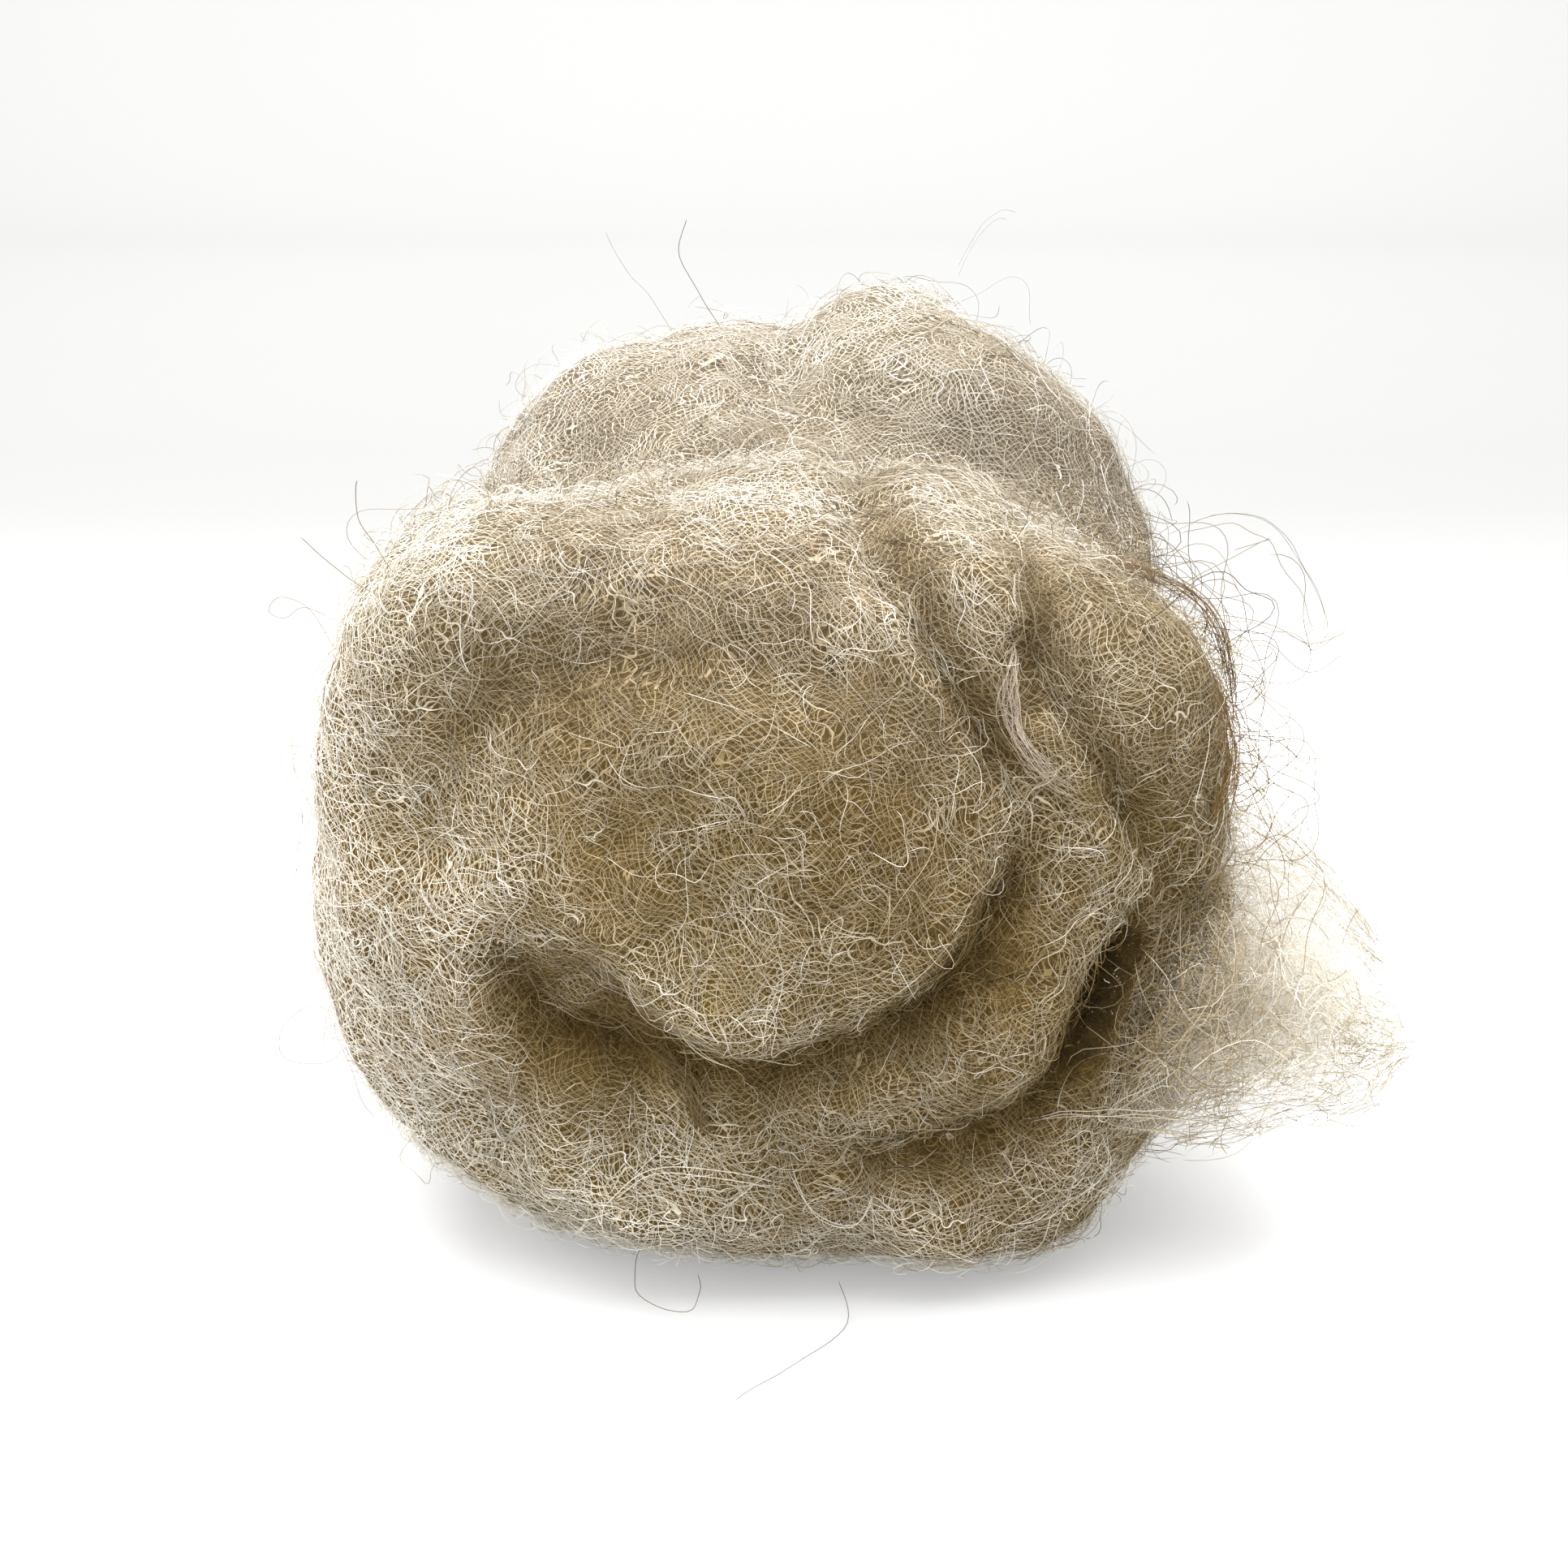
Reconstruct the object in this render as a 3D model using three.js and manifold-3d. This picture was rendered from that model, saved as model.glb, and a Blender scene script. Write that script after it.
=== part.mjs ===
// A carded wool batt, rolled up and drawn in at its middle, lying on its side.
// Millimetres, +Z up. The roll's axis runs along Y, with the wound face towards -Y.

import * as THREE from "three";
import { mergeVertices } from "three/addons/utils/BufferGeometryUtils.js";
import Module from "manifold-3d";

// Driving sizes
const FRONT_CAP_LENGTH = 28;
const BACK_CAP_LENGTH = 26;
const SECTION_SQUARENESS = 2.6;
const CAP_SQUARENESS = 2.5;
const FLAT_SPOT_DROP = 2;
const SEAT_GAP = 0.4;

// The roll's outline, one row for each section from front to back
const SECTIONS = [
  { y: -46, halfWidth: 55.5, bottom: -FLAT_SPOT_DROP, top: 93.5, centreX: 0 },
  { y: -28, halfWidth: 54.5, bottom: -FLAT_SPOT_DROP, top: 93, centreX: 0 },
  { y: -12, halfWidth: 50.5, bottom: 0, top: 89, centreX: 0.5 },
  { y: 1, halfWidth: 46.5, bottom: 3, top: 84, centreX: 1 },
  { y: 13, halfWidth: 48.5, bottom: 2, top: 87, centreX: 2 },
  { y: 26, halfWidth: 53.5, bottom: -FLAT_SPOT_DROP, top: 94, centreX: 3.5 },
  { y: 42, halfWidth: 55.5, bottom: -FLAT_SPOT_DROP, top: 97.5, centreX: 5 },
  { y: 56, halfWidth: 54.5, bottom: -FLAT_SPOT_DROP, top: 97, centreX: 5 },
];

// Creases between the turns, as seen along the axis: each runs through its [x, z] points.
// The trough is depth deep and width wide on each side, and is drawn under by undercut.
// It starts at the face and fades out along the roll by reach.
const FRONT_CREASES = [
  {
    name: "rim over core",
    points: [[-36, 60], [-35, 70], [-25, 79], [-8, 81], [6, 78], [15, 73]],
    depth: 2.5, width: 12, undercut: 0, reach: -52,
  },
  {
    name: "seam over the shoulder",
    points: [[6, 97], [14, 89], [20, 80], [25, 71], [28, 66]],
    depth: 5, width: 8, undercut: 0.5, reach: -14,
  },
  {
    name: "under the core",
    points: [[30, 63], [27, 54], [20, 43], [9, 35], [-3, 31], [-15, 36], [-26, 46]],
    depth: 8, width: 9, undercut: 1.5, reach: -40,
  },
  {
    name: "pocket floor",
    points: [[-32, 49], [-28, 40], [-20, 33], [-10, 30]],
    depth: 4, width: 9, undercut: 0, reach: -50,
  },
  {
    name: "under the second turn",
    points: [[4, 21], [19, 22], [31, 28], [37, 38], [43, 47]],
    depth: 6.5, width: 9, undercut: 0.5, reach: -24,
  },
  {
    name: "fold in the second turn",
    points: [[28, 92], [30, 82], [35, 72], [41, 63], [45, 52]],
    depth: 4.5, width: 8, undercut: 0.5, reach: -30,
  },
];
const CREASE_FADE = 16;
const CREASE_ROOT = 1.8;
const CREASE_END = { share: 0.2, depthLeft: 0.2 };

// Swellings and hollows of the wound face and the flanks, as seen along the axis
const FRONT_SWELLS = [
  { name: "core", x: -4, z: 48, radiusX: 23, radiusZ: 18, height: 6.5 },
  { name: "core tip", x: -1, z: 40, radiusX: 14, radiusZ: 9, height: 4 },
  { name: "second turn", x: 27, z: 44, radiusX: 9, radiusZ: 13, height: 3.5 },
  { name: "shoulder fold", x: 44, z: 74, radiusX: 9, radiusZ: 12, height: 4 },
  { name: "pocket", x: -23, z: 39, radiusX: 8, radiusZ: 6, height: -3.5 },
  { name: "lower turn", x: -12, z: 14, radiusX: 30, radiusZ: 9, height: 2.5 },
  { name: "forward foot", x: 26, z: 8, radiusX: 24, radiusZ: 13, height: 7 },
  { name: "lap of the loose end", x: 50, z: 36, radiusX: 10, radiusZ: 14, height: -4 },
];
const LEFT_SHOULDER = { x: -45, z: 84, radiusX: 15, radiusZ: 14, height: 4.5 };

// Where each kind of relief begins along the axis, and the length over which it grows
const FACE_START = { y: -48, over: 14 };
const SHOULDER_START = { y: -8, over: 22 };
const BACK_TOP_START = { y: 14, over: 18 };
const BACK_FACE_START = { y: 56, over: 14 };

// The middle of the core, towards which the creases are drawn in
const CORE = { x: -4, z: 52 };

// The far end is wound plainly: one even spiral seam
const BACK_SPIRAL = {
  turns: 1.3, startRadius: 14, endRadius: 44, centreX: 5, centreZ: 46, depth: 5.5, width: 12,
};
const BACK_HUMPS = [
  { name: "high hump", x: 24, z: 97, radiusX: 15, radiusZ: 16, height: 4 },
  { name: "dip between humps", x: 3, z: 97, radiusX: 6, radiusZ: 14, height: -3 },
];

// Gathers round the drawn-in middle, and the slow unevenness of hand rolling
const GATHERS = { count: 9, depth: 1.5, centreY: 2, spread: 22, sway: 1.3 };
const LUMPS = [
  { alongX: 0.11, alongY: 0.07, alongZ: 0.09, phase: 0.4, height: 0.9 },
  { alongX: -0.07, alongY: 0.13, alongZ: 0.12, phase: 2.1, height: 0.7 },
  { alongX: 0.19, alongY: -0.15, alongZ: 0.17, phase: 4.0, height: 0.5 },
];
const FLOOR_FADE = 9;

// The batt's outer end, splayed out from the right flank: one row for each section
// outwards. A section leans out at its top by lean and rises towards the back by tilt.
const LOOSE_END = [
  { x: 35, frontY: -71, backY: -14, middleZ: 35, halfThickness: 17, lean: 0.6, tilt: 0.05 },
  { x: 45, frontY: -73, backY: -14, middleZ: 36, halfThickness: 18.5, lean: 0.4, tilt: 0.1 },
  { x: 55, frontY: -71, backY: -17, middleZ: 36, halfThickness: 16.5, lean: 0.2, tilt: 0.2 },
  { x: 64, frontY: -67, backY: -22, middleZ: 34, halfThickness: 12.5, lean: 0.1, tilt: 0.25 },
  { x: 70, frontY: -63, backY: -28, middleZ: 31.5, halfThickness: 8.5, lean: 0, tilt: 0.3 },
  { x: 75, frontY: -58, backY: -34, middleZ: 30, halfThickness: 2.5, lean: 0, tilt: 0.3 },
];
const LOOSE_END_SQUARENESS = 2.3;
const LOOSE_END_RIPPLE = { height: 1.6, alongY: 0.24, alongX: 0.16, phase: 0.8 };

// Mesh fineness
const COLUMNS = 92;
const FRONT_RINGS = 24;
const SIDE_RINGS = 13;
const BACK_RINGS = 12;
const CREASE_STEPS = 8;
const SPIRAL_STEPS_PER_TURN = 8;
const POLE_DOME = 0.3;
const LIP_DOME = 0.6;
const SLOPE_STEP = 0.004;
const LOOSE_END_COLUMNS = 32;
const LOOSE_END_RINGS = 14;

const FELT_GREY = new THREE.Color("#a8997b");
const FELT_PALE = new THREE.Color("#c9bda3");

const clamp01 = (value) => Math.min(1, Math.max(0, value));

function smoothStep(value) {
  const t = clamp01(value);
  return t * t * (3 - 2 * t);
}

// A Catmull-Rom value through four neighbours of a table column
function splineValue(rows, key, column, value) {
  let i = 0;
  while (i < rows.length - 2 && value > rows[i + 1][key]) i += 1;
  const t = clamp01((value - rows[i][key]) / (rows[i + 1][key] - rows[i][key]));
  const before = rows[Math.max(i - 1, 0)][column];
  const from = rows[i][column];
  const to = rows[i + 1][column];
  const after = rows[Math.min(i + 2, rows.length - 1)][column];
  const slopeFrom = (to - before) / 2;
  const slopeTo = (after - from) / 2;
  const t2 = t * t;
  const t3 = t2 * t;
  return (2 * t3 - 3 * t2 + 1) * from + (t3 - 2 * t2 + t) * slopeFrom
    + (3 * t2 - 2 * t3) * to + (t3 - t2) * slopeTo;
}

// The even form before its creases. stage runs 0 to 1 over the front cap, to 2 along
// the side and to 3 over the back cap.
function evenForm(angle, stage) {
  const first = SECTIONS[0].y;
  const last = SECTIONS[SECTIONS.length - 1].y;
  const power = 2 / CAP_SQUARENESS;
  let y = first + (last - first) * clamp01(stage - 1);
  let scale = 1;
  if (stage < 1) {
    const turn = (stage * Math.PI) / 2;
    scale = Math.sin(turn) ** power;
    y = first - FRONT_CAP_LENGTH * Math.cos(turn) ** power;
  } else if (stage > 2) {
    const turn = ((stage - 2) * Math.PI) / 2;
    scale = Math.max(Math.cos(turn), 0) ** power;
    y = last + BACK_CAP_LENGTH * Math.sin(turn) ** power;
  }
  const held = Math.min(Math.max(y, first), last);
  const halfWidth = splineValue(SECTIONS, "y", "halfWidth", held);
  const bottom = splineValue(SECTIONS, "y", "bottom", held);
  const top = splineValue(SECTIONS, "y", "top", held);
  const centreX = splineValue(SECTIONS, "y", "centreX", held);
  const across = Math.cos(angle);
  const up = Math.sin(angle);
  const reach = (Math.abs(across) ** SECTION_SQUARENESS + Math.abs(up) ** SECTION_SQUARENESS)
    ** (-1 / SECTION_SQUARENESS);
  return new THREE.Vector3(
    centreX + halfWidth * reach * across * scale,
    y,
    (top + bottom) / 2 + ((top - bottom) / 2) * reach * up * scale,
  );
}

// A crease's route as closely spaced points
function creaseRoute(points) {
  const curve = new THREE.CatmullRomCurve3(points.map(([x, z]) => new THREE.Vector3(x, 0, z)));
  return curve.getPoints(CREASE_STEPS * (points.length - 1));
}

// How deep a crease is at a point: a cusp at its line with a rounded turn on each side
function creaseAt(crease, point) {
  let nearest = Infinity;
  let share = 0;
  crease.route.forEach((step, i) => {
    const distance = Math.hypot(point.x - step.x, point.z - step.z);
    if (distance < nearest) {
      nearest = distance;
      share = i / (crease.route.length - 1);
    }
  });
  const ends = smoothStep(share / CREASE_END.share) * smoothStep((1 - share) / CREASE_END.share);
  const rounded = Math.hypot(nearest, CREASE_ROOT) - CREASE_ROOT;
  const left = CREASE_END.depthLeft + (1 - CREASE_END.depthLeft) * ends;
  return clamp01(1 - rounded / crease.width) ** 2 * left;
}

function swellAt(swell, point) {
  const across = (point.x - swell.x) / swell.radiusX;
  const up = (point.z - swell.z) / swell.radiusZ;
  return swell.height * Math.exp(-(across * across + up * up));
}

const frontCreases = FRONT_CREASES.map((crease) => ({ ...crease, route: creaseRoute(crease.points) }));

function spiralPoints({ turns, startRadius, endRadius, centreX, centreZ }) {
  const steps = Math.round(turns * SPIRAL_STEPS_PER_TURN);
  return Array.from({ length: steps + 1 }, (_, i) => {
    const angle = (i / steps) * turns * 2 * Math.PI;
    const radius = startRadius + (endRadius - startRadius) * (i / steps);
    return [centreX + radius * Math.cos(angle), centreZ + radius * Math.sin(angle)];
  });
}

const backCrease = { ...BACK_SPIRAL, route: creaseRoute(spiralPoints(BACK_SPIRAL)) };

// 0 in front of a start and 1 behind its length
const behind = (start, y) => smoothStep((y - start.y) / start.over);
// 0 behind a start and 1 in front of its length
const before = (start, y) => smoothStep((start.y - y) / start.over);

// Height of the relief over the even form, and how far a crease is drawn in under the core
function reliefAt(point, angle) {
  let height = 0;
  let drawn = 0;
  for (const crease of frontCreases) {
    const share = creaseAt(crease, point) * smoothStep((crease.reach - point.y) / CREASE_FADE);
    height -= crease.depth * share;
    drawn += crease.undercut * share;
  }
  for (const swell of FRONT_SWELLS) height += swellAt(swell, point) * before(FACE_START, point.y);
  height += swellAt(LEFT_SHOULDER, point) * before(SHOULDER_START, point.y);
  height -= backCrease.depth * creaseAt(backCrease, point) * behind(BACK_FACE_START, point.y);
  for (const hump of BACK_HUMPS) height += swellAt(hump, point) * behind(BACK_TOP_START, point.y);
  const fromWaist = (point.y - GATHERS.centreY) / GATHERS.spread;
  const gathers = 0.5 + 0.5 * Math.cos(GATHERS.count * angle + GATHERS.sway * Math.sin(2 * angle));
  height -= GATHERS.depth * gathers * Math.exp(-fromWaist * fromWaist);
  for (const lump of LUMPS) {
    height += lump.height
      * Math.sin(lump.alongX * point.x + lump.alongY * point.y + lump.alongZ * point.z + lump.phase);
  }
  return { height: height * smoothStep(point.z / FLOOR_FADE), drawn };
}

// The creased surface, swollen by an even clearance
function rollSurface(angle, stage, clearance) {
  const point = evenForm(angle, stage);
  const round = evenForm(angle + SLOPE_STEP, stage).sub(evenForm(angle - SLOPE_STEP, stage));
  const along = evenForm(angle, Math.min(stage + SLOPE_STEP, 3))
    .sub(evenForm(angle, Math.max(stage - SLOPE_STEP, 0)));
  const normal = along.cross(round).normalize();
  const { height, drawn } = reliefAt(point, angle);
  const moved = point.clone().addScaledVector(normal, height + clearance);
  const inwards = new THREE.Vector3(CORE.x - point.x, 0, CORE.z - point.z).normalize();
  moved.addScaledVector(inwards, drawn);
  moved.z = Math.max(moved.z, -clearance);
  return moved;
}

// A closed mesh from rings of points with a pole at each end. Seen from the first pole,
// the points of a ring run clockwise.
function ringsToGeometry(rings, firstPole, lastPole) {
  const columns = rings[0].length;
  const points = [firstPole, ...rings.flat(), lastPole];
  const last = points.length - 1;
  const at = (ring, column) => 1 + ring * columns + (column % columns);
  const faces = [];
  for (let column = 0; column < columns; column += 1) {
    faces.push(0, at(0, column), at(0, column + 1));
    for (let ring = 0; ring < rings.length - 1; ring += 1) {
      const [near, nearNext] = [at(ring, column), at(ring, column + 1)];
      const [far, farNext] = [at(ring + 1, column), at(ring + 1, column + 1)];
      faces.push(near, farNext, nearNext, near, far, farNext);
    }
    faces.push(last, at(rings.length - 1, column + 1), at(rings.length - 1, column));
  }
  const geometry = new THREE.BufferGeometry();
  const values = points.flatMap((point) => [point.x, point.y, point.z]);
  geometry.setAttribute("position", new THREE.Float32BufferAttribute(values, 3));
  geometry.setIndex(faces);
  return geometry;
}

function rollGeometry(clearance) {
  const stages = [];
  for (let i = 1; i <= FRONT_RINGS; i += 1) stages.push(i / FRONT_RINGS);
  for (let i = 1; i <= SIDE_RINGS; i += 1) stages.push(1 + i / SIDE_RINGS);
  for (let i = 1; i < BACK_RINGS; i += 1) stages.push(2 + i / BACK_RINGS);
  const rings = stages.map((stage) => Array.from({ length: COLUMNS }, (_, column) =>
    rollSurface((column / COLUMNS) * 2 * Math.PI, stage, clearance)));
  const frontPole = averageOf(rings[0]);
  const backPole = averageOf(rings[rings.length - 1]);
  frontPole.y -= POLE_DOME;
  backPole.y += POLE_DOME;
  return ringsToGeometry(rings, frontPole, backPole);
}

function averageOf(points) {
  const sum = new THREE.Vector3();
  points.forEach((point) => sum.add(point));
  return sum.multiplyScalar(1 / points.length);
}

// The loose end: flattened sections that thin and narrow outwards to a frayed lip
function looseEndGeometry() {
  const first = LOOSE_END[0].x;
  const last = LOOSE_END[LOOSE_END.length - 1].x;
  const rings = Array.from({ length: LOOSE_END_RINGS }, (_, ring) => {
    const x = first + ((last - first) * ring) / (LOOSE_END_RINGS - 1);
    const front = splineValue(LOOSE_END, "x", "frontY", x);
    const back = splineValue(LOOSE_END, "x", "backY", x);
    const middle = splineValue(LOOSE_END, "x", "middleZ", x);
    const thick = splineValue(LOOSE_END, "x", "halfThickness", x);
    const lean = splineValue(LOOSE_END, "x", "lean", x);
    const tilt = splineValue(LOOSE_END, "x", "tilt", x);
    return Array.from({ length: LOOSE_END_COLUMNS }, (_, column) => {
      const angle = (column / LOOSE_END_COLUMNS) * 2 * Math.PI;
      const across = Math.cos(angle);
      const up = Math.sin(angle);
      const reach = (Math.abs(across) ** LOOSE_END_SQUARENESS + Math.abs(up) ** LOOSE_END_SQUARENESS)
        ** (-1 / LOOSE_END_SQUARENESS);
      const y = (front + back) / 2 - ((back - front) / 2) * reach * across;
      const ripple = LOOSE_END_RIPPLE.height
        * Math.sin(LOOSE_END_RIPPLE.alongY * y + LOOSE_END_RIPPLE.alongX * x + LOOSE_END_RIPPLE.phase);
      const lift = tilt * (y - (front + back) / 2);
      const height = thick * reach * up;
      return new THREE.Vector3(x + lean * height, y, middle + ripple + lift + height);
    });
  });
  const root = averageOf(rings[0]);
  const lip = averageOf(rings[rings.length - 1]);
  lip.x += LIP_DOME;
  return ringsToGeometry(rings, root, lip);
}

const wasm = await Module();
wasm.setup();

function toManifold(geometry) {
  const bare = geometry.clone();
  bare.deleteAttribute("normal");
  bare.deleteAttribute("uv");
  const merged = mergeVertices(bare);
  return new wasm.Manifold(new wasm.Mesh({
    numProp: 3,
    vertProperties: new Float32Array(merged.attributes.position.array),
    triVerts: new Uint32Array(merged.index.array),
  }));
}

function toGeometry(manifold) {
  const { vertProperties, triVerts } = manifold.getMesh();
  const geometry = new THREE.BufferGeometry();
  geometry.setAttribute("position", new THREE.Float32BufferAttribute(vertProperties, 3));
  geometry.setIndex([...triVerts]);
  return geometry;
}

// The largest of the bodies that a cut leaves
function largestBody(manifold) {
  return manifold.decompose().reduce((best, body) => (body.volume() > best.volume() ? body : best));
}

const roll = rollGeometry(0);
const splayed = toManifold(looseEndGeometry()).subtract(toManifold(rollGeometry(SEAT_GAP)));
const looseEnd = toGeometry(largestBody(splayed));

function namedMesh(name, geometry, color) {
  geometry.computeVertexNormals();
  const wool = new THREE.MeshStandardMaterial({ color, roughness: 0.95, metalness: 0 });
  const mesh = new THREE.Mesh(geometry, wool);
  mesh.name = name;
  return mesh;
}

const batt = new THREE.Group();
batt.add(namedMesh("rolled_batt", roll, FELT_GREY));
batt.add(namedMesh("loose_end", looseEnd, FELT_PALE));

// The origin is the middle of the footprint, on the surface that the roll lies on
const box = new THREE.Box3().setFromObject(batt);
const centre = box.getCenter(new THREE.Vector3());
batt.position.set(-centre.x, -centre.y, -box.min.z);

export default batt;
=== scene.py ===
"""Dresses a rolled wool batt with fleece, crimped fibres, locks and stray hairs.

The batt lies on its side with its wound end towards the camera. Everything is in metres in the
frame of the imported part. Sizes of the fleece are written in millimetres and scaled by MM.
"""

from __future__ import annotations

import logging
import math
from collections.abc import Callable
from dataclasses import dataclass, field
from enum import Enum

import bpy
import numpy as np
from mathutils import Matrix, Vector

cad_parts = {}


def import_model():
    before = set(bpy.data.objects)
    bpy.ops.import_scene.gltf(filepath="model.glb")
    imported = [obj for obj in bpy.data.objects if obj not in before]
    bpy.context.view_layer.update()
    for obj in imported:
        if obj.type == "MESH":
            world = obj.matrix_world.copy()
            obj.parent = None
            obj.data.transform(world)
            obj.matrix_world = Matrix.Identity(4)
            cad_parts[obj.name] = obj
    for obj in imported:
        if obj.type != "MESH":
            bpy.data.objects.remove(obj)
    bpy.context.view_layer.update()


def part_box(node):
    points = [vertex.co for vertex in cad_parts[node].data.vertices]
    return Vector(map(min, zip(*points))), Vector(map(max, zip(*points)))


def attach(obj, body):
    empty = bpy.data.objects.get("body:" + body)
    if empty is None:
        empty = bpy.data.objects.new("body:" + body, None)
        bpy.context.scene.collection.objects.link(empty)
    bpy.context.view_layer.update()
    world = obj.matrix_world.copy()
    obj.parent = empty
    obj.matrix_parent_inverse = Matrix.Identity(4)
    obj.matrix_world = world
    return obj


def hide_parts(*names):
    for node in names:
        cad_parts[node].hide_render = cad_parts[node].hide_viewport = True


LOG = logging.getLogger("batt")
MM = 0.001
ROLL_NODE = "rolled_batt"
LOOSE_NODE = "loose_end"
BODY = "root"
Wanted = Callable[[np.ndarray, np.ndarray], np.ndarray]
Socket = bpy.types.NodeSocket
Value = bpy.types.NodeSocket | float | tuple[float, ...]

# slow drift of hue: size of its noise, and position, red, green, blue
DRIFT_SCALE = 22.0
DRIFT = ((0.35, 0.98, 1.0, 0.985), (0.5, 1.0, 1.0, 1.0), (0.65, 1.0, 0.985, 0.99))
# painted shade and light: direction and place, in metres, from the browner painted shade in front to
# the paler painted light at the top and back
LIGHT_PALER_WAY = (0.0, 1.0, 2.0)
LIGHT_PALER_FROM, LIGHT_PALER_TO = 0.05, 0.18
# saturation of the painted shade in front and of the painted light at the top and back
SHADE_SATURATION = (1.21, 0.73)
# tone of wool from dark to cream: position, red, green, blue
FIBRE_TONES = (
    (0.0, 0.052, 0.034, 0.012),
    (0.25, 0.157, 0.11, 0.048),
    (0.5, 0.312, 0.253, 0.162),
    (0.7, 0.48, 0.43, 0.34),
    (1.0, 0.795, 0.77, 0.71),
)
# noises that warp the drawn fibres: scale, and reach in mm
WIDE_WARP, FINE_WARP = (160, 5.6), (560, 0.85)
# how fast a drawn fibre comes and goes along its length, and over which share it fades
STEADY, BROKEN = (1.5, 1.8, 1.2), (5.0, 6.0, 4.0)
FADE_OUT = 0.12
# step of the tone from one drawn fibre to the next, spread of the tone, and gain of its changes
TONE_STEP, ENDING_STEP, TONE_SPREAD, TONE_GAIN = 0.6180339, 9.7, 0.2, 1.5
# where a family stops because the surface lies along its sheets
FACING_LIMITS = (0.84, 0.56)
# reach of a drawn fibre's shadow and of its full tone in half widths, and depth of the shadow
SHADOW_REACH, LINE_CORE, SHADOW_DEPTH = (2.4, 0.6), 0.45, 0.6
# greatest share that haze covers
MOST_HAZE = 0.9
# direction across the family, distance between fibres and half width in mm, tone, share kept
BODY_FAMILIES = (
    (0.9, 0.3, 0.3, 0.72, 0.08, 0.26, 0.9),
    (-0.3, 0.5, 0.8, 0.75, 0.078, 0.40, 0.9),
    (0.6, -0.7, 0.4, 0.8, 0.075, 0.54, 0.85),
    (0.2, 0.9, -0.5, 0.95, 0.072, 0.68, 0.8),
)
VEIL_FAMILIES = (
    (-0.6, 0.3, 0.75, 0.72, 0.05, 0.48, 0.85),
    (0.8, 0.35, 0.5, 0.8, 0.05, 0.62, 0.85),
    (0.15, -0.5, 0.85, 1.0, 0.048, 0.74, 0.8),
)
WISP_FAMILIES = (
    (-0.6, 0.3, 0.75, 0.58, 0.05, 0.62, 0.9),
    (0.8, 0.35, 0.5, 0.66, 0.05, 0.76, 0.9),
)
# where the paper's tones begin and end along +Y in metres, and position, red, green, blue; the tones
# are a painted fall-off of light over the sweep: pale by the batt, greyer behind it and paler again up
# the wall
PAPER_FROM, PAPER_TO = 0.1, 1.3
PAPER_PAINTED_FALLOFF = (
    (0.0, 0.335, 0.335, 0.333),
    (0.03, 0.32, 0.32, 0.318),
    (0.12, 0.168, 0.168, 0.167),
    (0.18, 0.155, 0.155, 0.153),
    (0.24, 0.157, 0.157, 0.155),
    (0.38, 0.174, 0.174, 0.172),
    (0.6, 0.208, 0.208, 0.206),
    (0.76, 0.226, 0.226, 0.224),
    (0.9, 0.238, 0.238, 0.236),
    (1.0, 0.246, 0.246, 0.244),
)
# name, place, size, power
LAMPS = (
    ("overhead", (0.0, 0.1, 0.9), 1.2, 40.0),
    ("left_fill", (-0.8, -0.3, 0.6), 0.7, 5.0),
)
# uneven tone: amount, wavelength in mm, seed
TONE_NOISES = ((0.06, 26, 31), (0.04, 7, 32))
NOISE_WAVES = 12
# patches of painted light and shade, with some tone of the wool: the lit top, back and left edge, light
# bounced from the floor onto the bottom, shade in the pocket, under the rim, on the wraps and in the
# dip between the lobes; x, y, z, radius, change of tone, in the roll's millimetres
LIGHT_SHADE_AND_TONE_PATCHES = (
    (-6, -73, 40, 12, 0.02),
    (-24, -70, 36, 9, -0.16),
    (-12, -68, 80, 16, -0.08),
    (32, -68, 48, 13, -0.04),
    (46, -60, 72, 12, -0.04),
    (-52, -54, 62, 20, 0.42),
    (-52, -52, 36, 24, 0.36),
    (-40, -40, 86, 18, 0.16),
    (-36, -60, 14, 24, 0.42),
    (0, -66, 6, 26, 0.22),
    (26, -64, 10, 20, 0.04),
    (8, -56, 94, 22, 0.08),
    (46, -44, 88, 18, -0.06),
    (-34, 40, 80, 24, 0.14),
    (-8, 6, 86, 14, -0.12),
    (8, 40, 96, 24, 0.06),
)
# least share of its fibres that a veil keeps anywhere, and a share that keeps them all
LEAST_COVER, FULL_COVER = 0.03, 4.0
# place in metres, radius and further weight of the hollow right of the core, where fibres gather
HOLLOW, HOLLOW_RADIUS, HOLLOW_WEIGHT = (0.02, -0.066, 0.044), 0.012, 1.8
# place in metres and radius of the stray loops at the upper right
STRAY, STRAY_RADIUS = (0.044, -0.048, 0.066), 0.024
# where the wisp's outer part starts along +X, and over which length, in metres
TIP_START = (0.036, 0.012)
# how much a surface on the outline faces away from the camera: middle and spread
OUTLINE_FACING = (0.35, 0.45)
# painted light that makes the top paler: height where it begins and over which it grows, change of tone
LIT_TOP_PALER = (60.0, 30.0, 0.06)
# crimps of a fibre: least and greatest wavelength in mm, strength
CRIMPS = ((5, 9, 0.5), (9, 20, 0.8))
# slow swirl of the fibres' headings: strength, wavelength in mm, seed
SWIRLS = ((0.75, 36, 11), (0.45, 13, 12))
# least height of a middle line, and gap between a fibre and the floor, in mm
LEAST_HEIGHT, FLOOR_GAP = 0.2, 0.05
# fibres grown for each that is wanted, because some are dropped, and tone left to a dark one
SPARE_FIBRES, DARK_TONE = 1.3, 0.3
# share of the stray fibres that end free, and the powers that shape a free and an arched one
FREE_SHARE, FREE_POWER, ARCH_POWER = 0.4, 1.3, 0.8
# lowest share of its height that a lying fibre sinks to, and its waves in units of pi
LYING_LEAST, LYING_WAVES = 0.35, 1.4
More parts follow.
